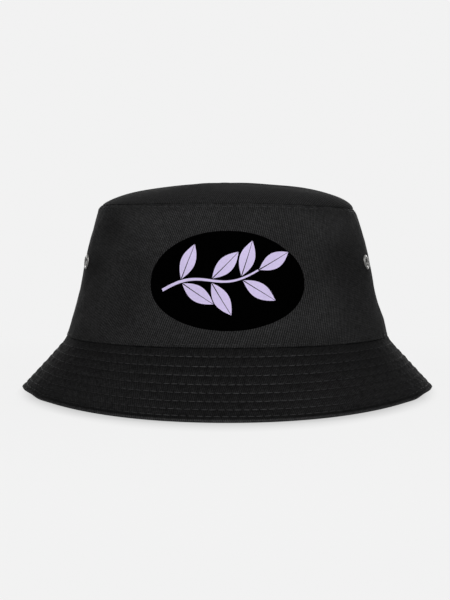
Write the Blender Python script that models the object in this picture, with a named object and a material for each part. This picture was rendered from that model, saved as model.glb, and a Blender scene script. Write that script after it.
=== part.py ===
"""Cotton twill bucket hat, modelled piece by piece as it is sewn.

Metres, +Z up. The front faces -Y. The hat stands on the level stretches of its brim edge, at the front and
the back, and the origin lies on that surface under the middle of the hat.

Most pieces are lofts of one cross-section around the hat. A cross-section is worked out in two frames: the
wall frame gives a share of the way up the crown and a depth behind its outer face, and the brim frame gives a
distance along the brim from its seam and a depth below its upper face.
"""

import math

import bmesh
import bpy
from mathutils import Matrix, Vector

# Crown
BASE_WIDTH = 0.204
BASE_DEPTH = 0.188
CROWN_HEIGHT = 0.083
CROWN_TAPER = 0.0211
WALL_SWAY = 0.00095
TOP_RISE = 0.0133
TOP_FLATNESS = 2.8
TOP_FULLNESS = 0.85

# Brim
BRIM_WIDTH = 0.0427
FRONT_SLOPE = math.radians(70.2)
SIDE_SLOPE = math.radians(45.8)
LEVEL_SHARE = 0.26
SLOPE_EASE = 1.2
EDGE_TURN = 0.003
EDGE_CHAMFER = 0.0004
LAYER_LEAD = 0.004

# Cloth, tape and the play left between two pieces
TWILL = 0.0006
INTERLINING = 0.0008
ALLOWANCE = 0.008
BAND_HEIGHT = 0.030
BAND_LIFT = 0.0012
BAND_THICKNESS = 0.0008
TAPE_THICKNESS = 0.0005
SIDE_TAPE_WIDTH = 0.012
BINDING_WIDTH = 0.012
CLEARANCE = 0.0003

# Sewing thread
THREAD = 0.0006
TOPSTITCH_INSET = 0.0022
FIRST_ROW = 0.0043
ROW_PITCH = 0.00495
LAST_ROW_MARGIN = 0.003

# Eyelets and their washers
EYELET_FLANGE = 0.0096
EYELET_BORE = 0.0050
EYELET_WALL = 0.0004
EYELET_CROWN = 0.0011
EYELET_SHOULDER = 0.6
EYELET_ROLL = 0.0008
WASHER_WIDTH = 0.0018
WASHER_THICKNESS = 0.0005
EYELET_ABOVE_BAND = 0.017
EYELET_FROM_SIDE_SEAM = 0.027

# Label
LABEL_WIDTH = 0.030
LABEL_LENGTH = 0.024
LABEL_THICKNESS = 0.0006
LABEL_BELOW_BAND_TOP = 0.002

# Print on the front, a leaf sprig on an oval
PRINT_FILM = 0.0002
PRINT_LIFT = 0.0004
GROUND_WIDTH = 0.093
GROUND_ABOVE_BRIM_SEAM = 0.0095
GROUND_BELOW_TOP_SEAM = 0.0155
GROUND_SWEEP = math.radians(172.0)
STEM_SPAN = 0.056
STEM_RISE = 0.012
STEM_BOW = 0.003
STEM_WIDTH = 0.0016
STEM_OFFSET = -0.010
LEAF_LENGTH = 0.0215
LEAF_WIDTH = 0.0090
LEAF_TIP = 0.0003
LEAF_SPLAY = math.radians(52.0)
LEAF_GAP = 0.0006
LEAF_PAIRS = 3
LEAF_LEAD = 0.6
LEAF_TAIL = 0.6

# Fineness of the faceted surfaces
MERIDIANS = 48
WALL_BAYS = 4
EYELET_SIDES = 16
FILM_BAYS = 12
LEAF_BAYS = 6

# Worked out from the sizes above
HALF_WIDTH = BASE_WIDTH / 2
HALF_DEPTH = BASE_DEPTH / 2
STEP = 2 * math.pi / MERIDIANS
BACK = math.pi / 2
FRONT = 3 * math.pi / 2
FOLD = 2 * TWILL + CLEARANCE
FLANGE_DEPTH = FOLD + CLEARANCE
LAYER = TWILL + CLEARANCE
BAND_DEPTH = FLANGE_DEPTH + 2 * LAYER
BRIM_THICKNESS = 2 * LAYER + INTERLINING
GROUND_HEIGHT = CROWN_HEIGHT - GROUND_ABOVE_BRIM_SEAM - GROUND_BELOW_TOP_SEAM
PRINT_HEIGHT = GROUND_ABOVE_BRIM_SEAM + GROUND_HEIGHT / 2
WALL_SHARES = [index / WALL_BAYS for index in range(1, WALL_BAYS)]
BRIM_SHARES = (0.25, 0.5, 0.75)
DOME_SHARES = (0.35, 0.6, 0.78, 0.9, 0.97)


def up(height):
    """The share of the crown wall that a height makes."""
    return height / CROWN_HEIGHT


def wall_station(index, depth):
    """Out from the brim seam and up from it, at a station of the wall and a depth behind its outer face."""
    share = index / WALL_BAYS
    turn = 2 * math.pi * share
    out = -CROWN_TAPER * share - WALL_SWAY * math.sin(turn)
    lean = -CROWN_TAPER - WALL_SWAY * 2 * math.pi * math.cos(turn)
    rise = Vector((lean, CROWN_HEIGHT)).normalized()
    return Vector((out, CROWN_HEIGHT * share)) - depth * Vector((rise.y, -rise.x))


def wall(share, depth):
    """Out from the brim seam and up from it, a share of the way up the wall and a depth behind its face."""
    index = min(max(math.floor(share * WALL_BAYS), 0), WALL_BAYS - 1)
    return wall_station(index, depth).lerp(wall_station(index + 1, depth), share * WALL_BAYS - index)


BRIM_ROOT = wall(0, FLANGE_DEPTH)
SEAM_HEIGHT = BRIM_WIDTH * math.sin(FRONT_SLOPE) - BRIM_ROOT.y


def meridian_point(angle, place):
    """The point of the hat at a bearing, from its place out from and up from the brim seam."""
    base = Vector((HALF_WIDTH * math.cos(angle), HALF_DEPTH * math.sin(angle), SEAM_HEIGHT + place.y))
    outward = Vector((HALF_DEPTH * math.cos(angle), HALF_WIDTH * math.sin(angle), 0)).normalized()
    return base + place.x * outward


def brim_slope(angle):
    """How steeply the brim falls at a bearing: level lengths at the front and back, flatter at the sides."""
    share = max(0, (abs(math.cos(angle)) - LEVEL_SHARE) / (1 - LEVEL_SHARE))
    return FRONT_SLOPE + (SIDE_SLOPE - FRONT_SLOPE) * share**SLOPE_EASE


def on_facet(angle, point):
    """A point between two meridians, on the flat facet that joins them."""
    index = math.floor(angle / STEP + 1e-6)
    share = angle / STEP - index
    return point(index * STEP).lerp(point((index + 1) * STEP), share)


def on_wall(angle, share, depth):
    """The point of the crown wall at a bearing, a share of the way up and a depth behind its face."""
    place = wall(share, depth)
    return on_facet(angle, lambda bearing: meridian_point(bearing, place))


def on_brim(angle, along, depth):
    """The point of the brim at a bearing, along from its root and below its upper face."""

    def point(bearing):
        fall = brim_slope(bearing)
        ahead = Vector((math.cos(fall), -math.sin(fall)))
        below = Vector((-math.sin(fall), -math.cos(fall)))
        return meridian_point(bearing, BRIM_ROOT + along * ahead + depth * below)

    return on_facet(angle, point)


def brim_bend(angle, depth):
    """The corner where a layer leaves the wall for the brim, a depth behind the root of the upper face."""

    def point(bearing):
        fall = brim_slope(bearing)
        wall_in = (wall(0, 1) - wall(0, 0)).normalized()
        brim_in = Vector((-math.sin(fall), -math.cos(fall)))
        mitre = (wall_in + brim_in) / (1 + wall_in.dot(brim_in))
        return meridian_point(bearing, BRIM_ROOT + depth * mitre)

    return on_facet(angle, point)


def edge_along(angle, depth):
    """How far along the brim its level lower edge lies, at a depth below the upper face."""
    index = round(angle / STEP)
    return BRIM_WIDTH - depth / math.tan(brim_slope(index * STEP))


def brim_run(angle, depth):
    """Points on a face of the brim between its root and its edge, going out."""
    return [on_brim(angle, share * BRIM_WIDTH, depth) for share in BRIM_SHARES]


def bearings(start, stop):
    """Bearings from one cut end to the other, with half the clearance left at each end."""
    trim = CLEARANCE / 2 / HALF_DEPTH
    first = math.floor(start / STEP + 1e-6) + 1
    last = math.ceil(stop / STEP - 1e-6) - 1
    return [start + trim] + [index * STEP for index in range(first, last + 1)] + [stop - trim]


def all_round():
    """The bearings of a closed ring."""
    return [index * STEP for index in range(MERIDIANS)]


def material(name, colour, roughness, metallic=0.0):
    """A Principled material of one colour."""
    made = bpy.data.materials.new(name)
    made.use_nodes = True
    shader = made.node_tree.nodes["Principled BSDF"]
    shader.inputs["Base Color"].default_value = (*colour, 1)
    shader.inputs["Roughness"].default_value = roughness
    shader.inputs["Metallic"].default_value = metallic
    return made


def make_object(name, mesh, finish, parent):
    """An object of a mesh, with its finish, under a parent."""
    made = bpy.data.objects.new(name, mesh)
    bpy.context.collection.objects.link(made)
    if not mesh.materials:
        mesh.materials.append(finish)
    made.parent = parent
    return made


def finish_mesh(name, shape):
    """The mesh of a finished shape, its faces pointing out, smooth across its gentle bends."""
    bmesh.ops.recalc_face_normals(shape, faces=shape.faces)
    mesh = bpy.data.meshes.new(name)
    shape.to_mesh(mesh)
    shape.free()
    mesh.shade_smooth()
    mesh.set_sharp_from_angle(angle=math.radians(35))
    return mesh


def patch(shape, corners):
    """Two triangles over four corners, split along the diagonal that lies nearer to the middle of the hat.

    Layers that lie on each other bend alike, so they split alike and stay clear of each other.
    """
    first, second, third, fourth = corners
    if (first.co + third.co).xy.length < (second.co + fourth.co).xy.length:
        first, second, third, fourth = second, third, fourth, first
    shape.faces.new((first, second, fourth))
    shape.faces.new((second, third, fourth))


def skin(shape, near, far):
    """Faces between two cross-sections of the same number of points."""
    count = len(near)
    for index in range(count):
        following = (index + 1) % count
        patch(shape, (near[index], near[following], far[following], far[index]))


def loft_mesh(name, sections, closed):
    """A solid through cross-sections: a closed ring, or a strip with capped ends."""
    shape = bmesh.new()
    loops = [[shape.verts.new(point) for point in section] for section in sections]
    for near, far in zip(loops, loops[1:]):
        skin(shape, near, far)
    if closed:
        skin(shape, loops[-1], loops[0])
    else:
        shape.faces.new(loops[0])
        shape.faces.new(loops[-1])
    return finish_mesh(name, shape)


def loft(name, section, angles, closed, finish, parent):
    """A piece that follows the hat round, from the function that gives its cross-section at a bearing."""
    mesh = loft_mesh(name, [section(angle) for angle in angles], closed)
    return make_object(name, mesh, finish, parent)


def panel_section(angle):
    """Crown wall cloth, with its allowance folded in behind it at the top seam and at the brim seam."""
    hem = up(ALLOWANCE)
    bend = up(TWILL)
    face = [(0, 0)] + [(share, 0) for share in WALL_SHARES] + [(1, 0)]
    top_fold = [(1, FOLD), (1 - hem, FOLD), (1 - hem, LAYER), (1 - bend, LAYER), (1 - bend, TWILL)]
    back = [(share, TWILL) for share in reversed(WALL_SHARES)]
    base_fold = [(bend, TWILL), (bend, LAYER), (hem, LAYER), (hem, FOLD), (0, FOLD)]
    return [on_wall(angle, share, depth) for share, depth in face + top_fold + back + base_fold]


def strip_section(low, high, depth, thickness):
    """A flat strip against the inside of the wall, between two heights."""
    between = [share for share in WALL_SHARES if up(low) < share < up(high)]
    shares = [up(low), *between, up(high)]

    def section(angle):
        face = [on_wall(angle, share, depth) for share in shares]
        back = [on_wall(angle, share, depth + thickness) for share in reversed(shares)]
        return face + back

    return section


def upper_brim_section(angle):
    """Upper brim cloth: turned up inside the crown, out to the edge, and folded under there."""
    hem = up(ALLOWANCE)
    hidden = BRIM_THICKNESS - TWILL
    low = edge_along(angle, BRIM_THICKNESS)
    inside = edge_along(angle, hidden) - TWILL
    return [
        on_wall(angle, hem, FLANGE_DEPTH),
        on_brim(angle, 0, 0),
        *brim_run(angle, 0),
        on_brim(angle, BRIM_WIDTH - EDGE_CHAMFER, 0),
        on_brim(angle, edge_along(angle, EDGE_CHAMFER), EDGE_CHAMFER),
        on_brim(angle, edge_along(angle, BRIM_THICKNESS - EDGE_CHAMFER), BRIM_THICKNESS - EDGE_CHAMFER),
        on_brim(angle, low - EDGE_CHAMFER, BRIM_THICKNESS),
        on_brim(angle, low - EDGE_TURN, BRIM_THICKNESS),
        on_brim(angle, low - EDGE_TURN, hidden),
        on_brim(angle, inside, hidden),
        on_brim(angle, inside, TWILL),
        *reversed(brim_run(angle, TWILL)),
        brim_bend(angle, TWILL),
        on_wall(angle, hem, FLANGE_DEPTH + TWILL),
    ]


def under_brim_section(angle):
    """Under brim cloth: turned up inside the crown, spread by the interlining, cut short of the edge fold."""
    hem = up(ALLOWANCE)
    end = edge_along(angle, BRIM_THICKNESS) - EDGE_TURN - CLEARANCE
    return [
        on_wall(angle, hem, FLANGE_DEPTH + LAYER),
        brim_bend(angle, LAYER),
        on_brim(angle, LAYER_LEAD, BRIM_THICKNESS - TWILL),
        *brim_run(angle, BRIM_THICKNESS - TWILL),
        on_brim(angle, end, BRIM_THICKNESS - TWILL),
        on_brim(angle, end, BRIM_THICKNESS),
        *reversed(brim_run(angle, BRIM_THICKNESS)),
        on_brim(angle, LAYER_LEAD, BRIM_THICKNESS),
        brim_bend(angle, LAYER + TWILL),
        on_wall(angle, hem, FLANGE_DEPTH + LAYER + TWILL),
    ]


def interlining_section(angle):
    """Stiffener between the two brim cloths, from below the seam to the inside of the edge fold."""
    start = LAYER_LEAD + CLEARANCE
    end = edge_along(angle, BRIM_THICKNESS - TWILL) - LAYER
    below = LAYER + INTERLINING
    return [
        on_brim(angle, start, LAYER),
        *brim_run(angle, LAYER),
        on_brim(angle, end, LAYER),
        on_brim(angle, end, below),
        *reversed(brim_run(angle, below)),
        on_brim(angle, start, below),
    ]


def wall_thread(height, depth):
    """The cross-section of a row of stitches, standing off the wall on the side that the depth's sign gives."""
    tip = depth + math.copysign(THREAD, depth)

    def section(angle):
        corners = ((height - THREAD / 2, depth), (height + THREAD / 2, depth), (height, tip))
        return [on_wall(angle, up(rise), inset) for rise, inset in corners]

    return section


def brim_thread(along):
    """The cross-section of a row of stitches on the brim's upper face."""
    tip = -CLEARANCE - THREAD

    def section(angle):
        corners = ((along - THREAD / 2, -CLEARANCE), (along + THREAD / 2, -CLEARANCE), (along, tip))
        return [on_brim(angle, place, depth) for place, depth in corners]

    return section


def add_top_panel(finish, parent):
    """Domed oval top with a lip over the wall's fold and its allowance turned down inside the wall."""
    shape = bmesh.new()
    lip = 1 + up(CLEARANCE)
    hem = 1 - up(ALLOWANCE)
    inset = FLANGE_DEPTH + TWILL
    rim_height = on_wall(0, lip + up(TWILL), 0).z
    inner_height = on_wall(0, lip, inset).z
    inner_rise = TOP_RISE + rim_height - inner_height - TWILL
    top = shape.verts.new((0, 0, rim_height + TOP_RISE))
    bottom = shape.verts.new((0, 0, rim_height + TOP_RISE - TWILL))

    def dome(rim, share, rise):
        height = rim.z + rise * (1 - share**TOP_FLATNESS) ** TOP_FULLNESS
        return Vector((rim.x * share, rim.y * share, height))

    def profile(angle):
        rim = on_wall(angle, lip + up(TWILL), 0)
        inner = on_wall(angle, lip, inset)
        outside = [dome(rim, share, TOP_RISE) for share in DOME_SHARES]
        inside = [dome(inner, share, inner_rise) for share in reversed(DOME_SHARES)]
        lip_and_flange = [
            rim,
            on_wall(angle, lip, 0),
            on_wall(angle, lip, FLANGE_DEPTH),
            on_wall(angle, hem, FLANGE_DEPTH),
            on_wall(angle, hem, inset),
            inner,
        ]
        return [shape.verts.new(point) for point in outside + lip_and_flange + inside]

    profiles = [profile(angle) for angle in all_round()]
    for near, far in zip(profiles, profiles[1:] + profiles[:1]):
        shape.faces.new((top, near[0], far[0]))
        for index in range(len(near) - 1):
            patch(shape, (near[index], near[index + 1], far[index + 1], far[index]))
        shape.faces.new((near[-1], bottom, far[-1]))
    return make_object("crown_top_panel", finish_mesh("crown_top_panel", shape), finish, parent)


def eyelet_frame(angle):
    """The place and turn of an eyelet on the wall's outer face, its axis pointing out of the hat."""
    share = up(BAND_HEIGHT + EYELET_ABOVE_BAND)
    nudge = STEP / 100
    centre = on_wall(angle, share, 0)
    round_way = on_wall(angle + nudge, share, 0) - on_wall(angle - nudge, share, 0)
    up_way = on_wall(angle, share + nudge, 0) - on_wall(angle, share - nudge, 0)
    outward = round_way.cross(up_way).normalized()
    return Matrix.Translation(centre) @ outward.to_track_quat("Z", "Y").to_matrix().to_4x4()


def turned_mesh(name, profile):
    """A ring turned about Z from its cross-section of radius and height points."""
    sections = []
    for index in range(EYELET_SIDES):
        spin = Matrix.Rotation(2 * math.pi * index / EYELET_SIDES, 3, "Z")
        sections.append([spin @ Vector((radius, 0, height)) for radius, height in profile])
    return loft_mesh(name, sections, closed=True)


def eyelet_mesh():
    """Set eyelet: rounded flange outside, barrel through the cloth, and its end rolled over the washer."""
    bore = EYELET_BORE / 2
    barrel = bore + EYELET_WALL
    flange = EYELET_FLANGE / 2
    middle = (bore + flange) / 2
    crown = CLEARANCE + EYELET_CROWN
    roll_top = -TWILL - 3 * CLEARANCE - WASHER_THICKNESS
    roll = barrel + WASHER_WIDTH / 2
    return turned_mesh(
        "eyelet",
        [
            (bore, crown - EYELET_WALL),
            (bore + EYELET_WALL, crown),
            (middle, crown),
            (flange - EYELET_WALL, CLEARANCE + EYELET_CROWN * EYELET_SHOULDER),
            (flange, CLEARANCE),
            (barrel, CLEARANCE),
            (barrel, roll_top),
            (roll, roll_top),
            (roll, roll_top - EYELET_ROLL / 2),
            (barrel, roll_top - EYELET_ROLL),
            (bore, roll_top - EYELET_ROLL / 2),
        ],
    )


def washer_mesh():
    """Flat washer round the eyelet's barrel, on the inside of the cloth."""
    inner = EYELET_BORE / 2 + EYELET_WALL + CLEARANCE
    outer = inner + WASHER_WIDTH
    top = -TWILL - 2 * CLEARANCE
    bottom = top - WASHER_THICKNESS
    return turned_mesh("eyelet_washer", [(inner, top), (outer, top), (outer, bottom), (inner, bottom)])


def cut_eyelet_hole(panel, frame):
    """A hole through a crown panel, one clearance wider than the eyelet's barrel."""
    shape = bmesh.new()
    radius = EYELET_BORE / 2 + EYELET_WALL + CLEARANCE
    bmesh.ops.create_cone(
        shape,
        cap_ends=True,
        segments=EYELET_SIDES,
        radius1=radius,
        radius2=radius,
        depth=2 * EYELET_FLANGE,
        matrix=frame,
    )
    mesh = bpy.data.meshes.new("eyelet_cutter")
    shape.to_mesh(mesh)
    shape.free()
    cutter = bpy.data.objects.new("eyelet_cutter", mesh)
    bpy.context.collection.objects.link(cutter)
    cutter.hide_render = True
    cutter.display_type = "WIRE"
    cut = panel.modifiers.new("eyelet hole", "BOOLEAN")
    cut.operation = "DIFFERENCE"
    cut.solver = "EXACT"
    cut.object = cutter


def add_eyelets(front_panel, back_panel, metal, parent):
    """Four eyelets with their washers, two on each side, one either side of the side seam."""
    turn = EYELET_FROM_SIDE_SEAM / HALF_DEPTH
    places = {
        "front_right": (2 * math.pi - turn, front_panel),
        "front_left": (math.pi + turn, front_panel),
        "back_right": (turn, back_panel),
        "back_left": (math.pi - turn, back_panel),
    }
    eyelet = eyelet_mesh()
    washer = washer_mesh()
    for place, (angle, panel) in places.items():
        frame = eyelet_frame(angle)
        cut_eyelet_hole(panel, frame)
        for name, mesh in (("eyelet", eyelet), ("eyelet_washer", washer)):
            make_object(f"{name}_{place}", mesh, metal, parent).matrix_local = frame


def add_crown(cloth, tape, metal, parent):
    """Top panel, the two wall panels with their eyelets, and the tapes over the raw edges."""
    add_top_panel(cloth, parent)
    back = loft("crown_back_panel", panel_section, bearings(0, math.pi), False, cloth, parent)
    front = loft("crown_front_panel", panel_section, bearings(math.pi, 2 * math.pi), False, cloth, parent)
    add_eyelets(front, back, metal, parent)
    binding_depth = FLANGE_DEPTH + LAYER
    binding = strip_section(CROWN_HEIGHT - BINDING_WIDTH, CROWN_HEIGHT, binding_depth, TAPE_THICKNESS)
    loft("top_seam_binding", binding, bearings(BACK, BACK + 2 * math.pi), False, tape, parent)
    low = ALLOWANCE + CLEARANCE
    side_tape = strip_section(low, CROWN_HEIGHT - low, LAYER, TAPE_THICKNESS)
    reach = SIDE_TAPE_WIDTH / 2 / HALF_DEPTH
    for side, seam in (("right", 0), ("left", math.pi)):
        angles = (seam - reach, seam, seam + reach)
        loft(f"side_seam_tape_{side}", side_tape, angles, False, tape, parent)


def add_brim(cloth, stiffener, parent):
    """Upper cloth, interlining and under cloth, each in a front and a back half."""
    layers = {
        "brim_upper": (upper_brim_section, cloth),
        "brim_interlining": (interlining_section, stiffener),
        "brim_under": (under_brim_section, cloth),
    }
    halves = {"back": bearings(0, math.pi), "front": bearings(math.pi, 2 * math.pi)}
    for layer, (section, finish) in layers.items():
        for half, angles in halves.items():
            loft(f"{layer}_{half}", section, angles, False, finish, parent)


def add_sweatband(cloth, parent):
    """One strip over the seam allowances inside the crown, its ends meeting at the back."""
    section = strip_section(BAND_LIFT, BAND_HEIGHT, BAND_DEPTH, BAND_THICKNESS)
    loft("sweatband", section, bearings(BACK, BACK + 2 * math.pi), False, cloth, parent)


def add_threads(thread, parent):
    """Rows of stitching on the brim, on the crown wall beside its two seams and inside the sweatband."""
    rows = int((BRIM_WIDTH - FIRST_ROW - LAST_ROW_MARGIN) / ROW_PITCH) + 1
    threads = {f"brim_stitch_row_{row + 1}": brim_thread(FIRST_ROW + row * ROW_PITCH) for row in range(rows)}
    band_face = BAND_DEPTH + BAND_THICKNESS + CLEARANCE
    threads["crown_base_topstitch"] = wall_thread(TOPSTITCH_INSET, -CLEARANCE)
    threads["crown_top_topstitch"] = wall_thread(CROWN_HEIGHT - TOPSTITCH_INSET, -CLEARANCE)
    threads["sweatband_stitch"] = wall_thread(TOPSTITCH_INSET, band_face)
    for name, section in threads.items():
        loft(name, section, all_round(), True, thread, parent)


def add_label(cloth, parent):
    """Label tab hanging inside the back from its sewn top edge, which is rounded about its own line."""
    hinge_share = up(BAND_HEIGHT - LABEL_BELOW_BAND_TOP)
    corner_angle = BACK - LABEL_WIDTH / 2 / HALF_WIDTH
    band_face = on_wall(corner_angle, hinge_share, BAND_DEPTH + BAND_THICKNESS)
    half = LABEL_THICKNESS / 2
    seam = bpy.data.objects.new("care_label_seam", None)
    bpy.context.collection.objects.link(seam)
    seam.parent = parent
    seam.location = (0, band_face.y - CLEARANCE - half, band_face.z)
    outline = [(half, -LABEL_LENGTH), (half, 0), (half * math.sqrt(0.5), half * math.sqrt(0.5)), (0, half)]
    outline += [(-depth, height) for depth, height in reversed(outline[:3])]
    sections = [[Vector((side * LABEL_WIDTH / 2, y, z)) for y, z in outline] for side in (-1, 1)]
    make_object("care_label", loft_mesh("care_label", sections, closed=False), cloth, seam)


def on_front(across, height, depth):
    """The point of the front wall beside the middle of the print, a depth behind its face."""
    angle = FRONT + across / (HALF_WIDTH - CROWN_TAPER / 2)
    return on_wall(angle, up(PRINT_HEIGHT + height), depth)


def film(name, rows, lift, finish, parent):
    """A thin film on the front wall, through rows of points across it, lifted off the face."""
    sections = []
    for row in rows:
        face = [on_front(across, height, -lift - PRINT_FILM) for across, height in row]
        back = [on_front(across, height, -lift) for across, height in reversed(row)]
        sections.append(face + back)
    make_object(name, loft_mesh(name, sections, closed=False), finish, parent)


def stem_point(share):
    """The middle of the stem, a share of the way from its foot to its tip."""
    across = STEM_OFFSET + STEM_SPAN * (share - 0.5)
    return Vector((across, STEM_RISE * (share - 0.5) + STEM_BOW * math.sin(2 * math.pi * share)))


def stem_heading(share):
    """The direction of the stem at a share of its length."""
    nudge = 0.01
    return (stem_point(share + nudge) - stem_point(share - nudge)).normalized()


def leaf_rows(foot, heading):
    """Rows across a leaf of two round edges, from its foot to its tip."""
    side = Vector((-heading.y, heading.x))
    rows = []
    for station in range(LEAF_BAYS + 1):
        share = station / LEAF_BAYS
        half = max(LEAF_TIP / 2, LEAF_WIDTH / 2 * math.sin(math.pi * share))
        middle = foot + LEAF_LENGTH * share * heading
        rows.append([middle + offset * side for offset in (-half, 0, half)])
    return rows


def add_print(ink, tint, parent):
    """Oval ground with a leaf sprig on it: pairs of leaves along a bowed stem and one leaf at its tip."""
    ground = []
    for station in range(FILM_BAYS + 1):
        turn = GROUND_SWEEP * (station / FILM_BAYS - 0.5)
        half = GROUND_HEIGHT / 2 * math.cos(turn)
        across = GROUND_WIDTH / 2 * math.sin(turn)
        ground.append([(across, half * (2 * row / FILM_BAYS - 1)) for row in range(FILM_BAYS + 1)])
    film("print_ground", ground, PRINT_LIFT, ink, parent)

    lift = 2 * PRINT_LIFT + PRINT_FILM
    stem = []
    for station in range(FILM_BAYS + 1):
        share = station / FILM_BAYS
        heading = stem_heading(share)
        side = Vector((-heading.y, heading.x)) * STEM_WIDTH / 2
        stem.append([stem_point(share) - side, stem_point(share) + side])
    film("print_stem", stem, lift, tint, parent)

    leaves = []
    for pair in range(LEAF_PAIRS):
        share = (pair + LEAF_LEAD) / (LEAF_PAIRS - 1 + LEAF_LEAD + LEAF_TAIL)
        for splay in (LEAF_SPLAY, -LEAF_SPLAY):
            heading = Matrix.Rotation(splay, 2) @ stem_heading(share)
            start = (STEM_WIDTH / 2 + LEAF_GAP) / math.sin(LEAF_SPLAY)
            leaves.append(leaf_rows(stem_point(share) + start * heading, heading))
    tip_heading = stem_heading(1)
    leaves.append(leaf_rows(stem_point(1) + LEAF_GAP * tip_heading, tip_heading))
    for index, rows in enumerate(leaves):
        film(f"print_leaf_{index + 1}", rows, lift, tint, parent)


def clear_scene():
    """An empty scene to build in."""
    for old in list(bpy.data.objects):
        bpy.data.objects.remove(old)


def main():
    """Every piece of the hat, under one empty."""
    clear_scene()
    hat = bpy.data.objects.new("bucket_hat", None)
    bpy.context.collection.objects.link(hat)
    charcoal = material("charcoal twill", (0.016, 0.016, 0.017), 0.95)
    black_tape = material("black tape", (0.012, 0.012, 0.012), 0.9)
    stiffener = material("white interlining", (0.55, 0.55, 0.52), 1.0)
    nickel = material("nickel", (0.62, 0.61, 0.58), 0.25, 1.0)
    thread = material("dark grey thread", (0.05, 0.05, 0.052), 0.6)
    label_cloth = material("white satin", (0.7, 0.7, 0.68), 0.5)
    black_ink = material("black print film", (0.002, 0.002, 0.002), 0.5)
    lilac_ink = material("lilac print film", (0.61, 0.52, 0.78), 0.6)
    add_crown(charcoal, black_tape, nickel, hat)
    add_brim(charcoal, stiffener, hat)
    add_sweatband(black_tape, hat)
    add_threads(thread, hat)
    add_label(label_cloth, hat)
    add_print(black_ink, lilac_ink, hat)


main()
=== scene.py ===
"""Black cotton twill bucket hat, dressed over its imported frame.

Metres, +Z up, the front faces -Y. Every piece of cloth is a closed thin sheet laid on one sewn form, so that
panels, stitches, eyelets and print follow the same slack, dents and quilting.
"""

from __future__ import annotations

import logging
import math
from collections.abc import Callable, Iterable, Sequence
from dataclasses import dataclass, field
from enum import Enum

import bmesh
import bpy
import numpy as np
from mathutils import Matrix, Vector

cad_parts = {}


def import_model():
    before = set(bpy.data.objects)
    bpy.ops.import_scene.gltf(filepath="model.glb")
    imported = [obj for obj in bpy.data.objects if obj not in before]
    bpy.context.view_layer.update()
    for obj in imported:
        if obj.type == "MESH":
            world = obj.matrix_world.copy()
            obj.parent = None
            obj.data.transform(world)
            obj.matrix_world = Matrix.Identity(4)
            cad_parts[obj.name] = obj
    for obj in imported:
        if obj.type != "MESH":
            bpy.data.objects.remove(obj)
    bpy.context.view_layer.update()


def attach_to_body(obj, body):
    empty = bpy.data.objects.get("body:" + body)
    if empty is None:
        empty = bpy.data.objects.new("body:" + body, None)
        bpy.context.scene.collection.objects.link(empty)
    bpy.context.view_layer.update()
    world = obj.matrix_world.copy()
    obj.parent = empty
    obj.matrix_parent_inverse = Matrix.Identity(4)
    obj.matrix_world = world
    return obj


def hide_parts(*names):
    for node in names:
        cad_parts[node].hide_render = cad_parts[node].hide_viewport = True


LOG = logging.getLogger("bucket_hat")
TAU = 2 * math.pi
FRONT = 1.5 * math.pi
BACK = 0.5 * math.pi
SHARP_ANGLE = math.radians(50.0)
TWILL_LEAN = math.radians(17.0)
TWILL_PITCH = 0.00115
TWILL_WOBBLE = 2.2
SEAM_STEPS = np.array([0.0, 0.0008, 0.0016, 0.0026, 0.004])
SEAM_ROLL_DEPTH = 0.0007
SEAM_ROLL_REACH = 0.0017
LINE_POINTS = 720
LINE_STEP = 0.0004
NOISE_RANGE = (0.3, 0.7)
# The painted light of cloth: open cloth lies from 0, painted shade in a hollow, to 1, a painted highlight on
# a high spot; below 0 is painted shade in a crease, and above 1 a painted highlight on the turned edge.
PAINTED_CREASE_SHADE = -1.0
EVEN = 0.5
PAINTED_EDGE_LIGHT = 2.0
Array = np.ndarray
Material = bpy.types.Material
Mesh = bpy.types.Mesh
Piece = bpy.types.Object
Pieces = dict[str, Piece]
Socket = bpy.types.NodeSocket
Colour = tuple[float, float, float]
Place = tuple[float, float, float]
DepthRule = Callable[[Array, Array], Array]
LineRule = Callable[[Array, float], Array]


class Body(Enum):
    """The moving bodies of the hat."""

    HAT = "hat"
    LABEL = "care_label"


class Slot(Enum):
    """The material slots of the record."""

    CROWN = "crown_twill"
    BRIM = "brim_twill"
    BAND = "band_cotton"
    TAPE = "tape"
    INTERLINING = "interlining"
    THREAD = "thread"
    LABEL = "label_satin"
    NICKEL = "nickel"
    INK = "print_black"
    TINT = "print_lilac"


class Half(Enum):
    """The two halves that the crown wall and the brim are cut in."""

    BACK = "back"
    FRONT = "front"

    @property
    def start(self) -> float:
        """The bearing of the side seam that the half starts from."""
        return 0.0 if self is Half.BACK else math.pi


def smooth_step(value: Array | float) -> Array:
    """An eased ramp from 0 to 1."""
    share = np.clip(value, 0.0, 1.0)
    return share * share * (3.0 - 2.0 * share)


def bell(distance: Array, spread: float) -> Array:
    """A bump of height 1 at no distance, which falls off on both sides."""
    return np.exp(-((distance / spread) ** 2))


def pairs(first: Array, second: Array) -> Array:
    """Two coordinates side by side on a new last axis."""
    return np.stack(np.broadcast_arrays(first, second), axis=-1)


@dataclass(frozen=True)
class Ripple:
    """Smooth unevenness of cloth that closes on itself round the hat and is the same on every run."""

    seed: int
    around: float
    along: float
    size: float
    count: int = 28

    def at(self, bearing: Array, place: Array) -> Array:
        """The unevenness, of about the ripple's size.

        Args:
            bearing: Bearings round the hat, in radians.
            place: Distances across it, in metres.

        Returns:
            One value for each pair of bearing and place.
        """
        draw = np.random.default_rng(self.seed)
        total = np.zeros(np.broadcast(bearing, place).shape)
        for _ in range(self.count):
            waves = round(draw.normal(0.0, self.around))
            rise = TAU * draw.normal(0.0, self.along)
            total = total + np.cos(waves * bearing + rise * place + draw.uniform(0.0, TAU))
        return self.size * (total / math.sqrt(self.count / 2))


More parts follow.
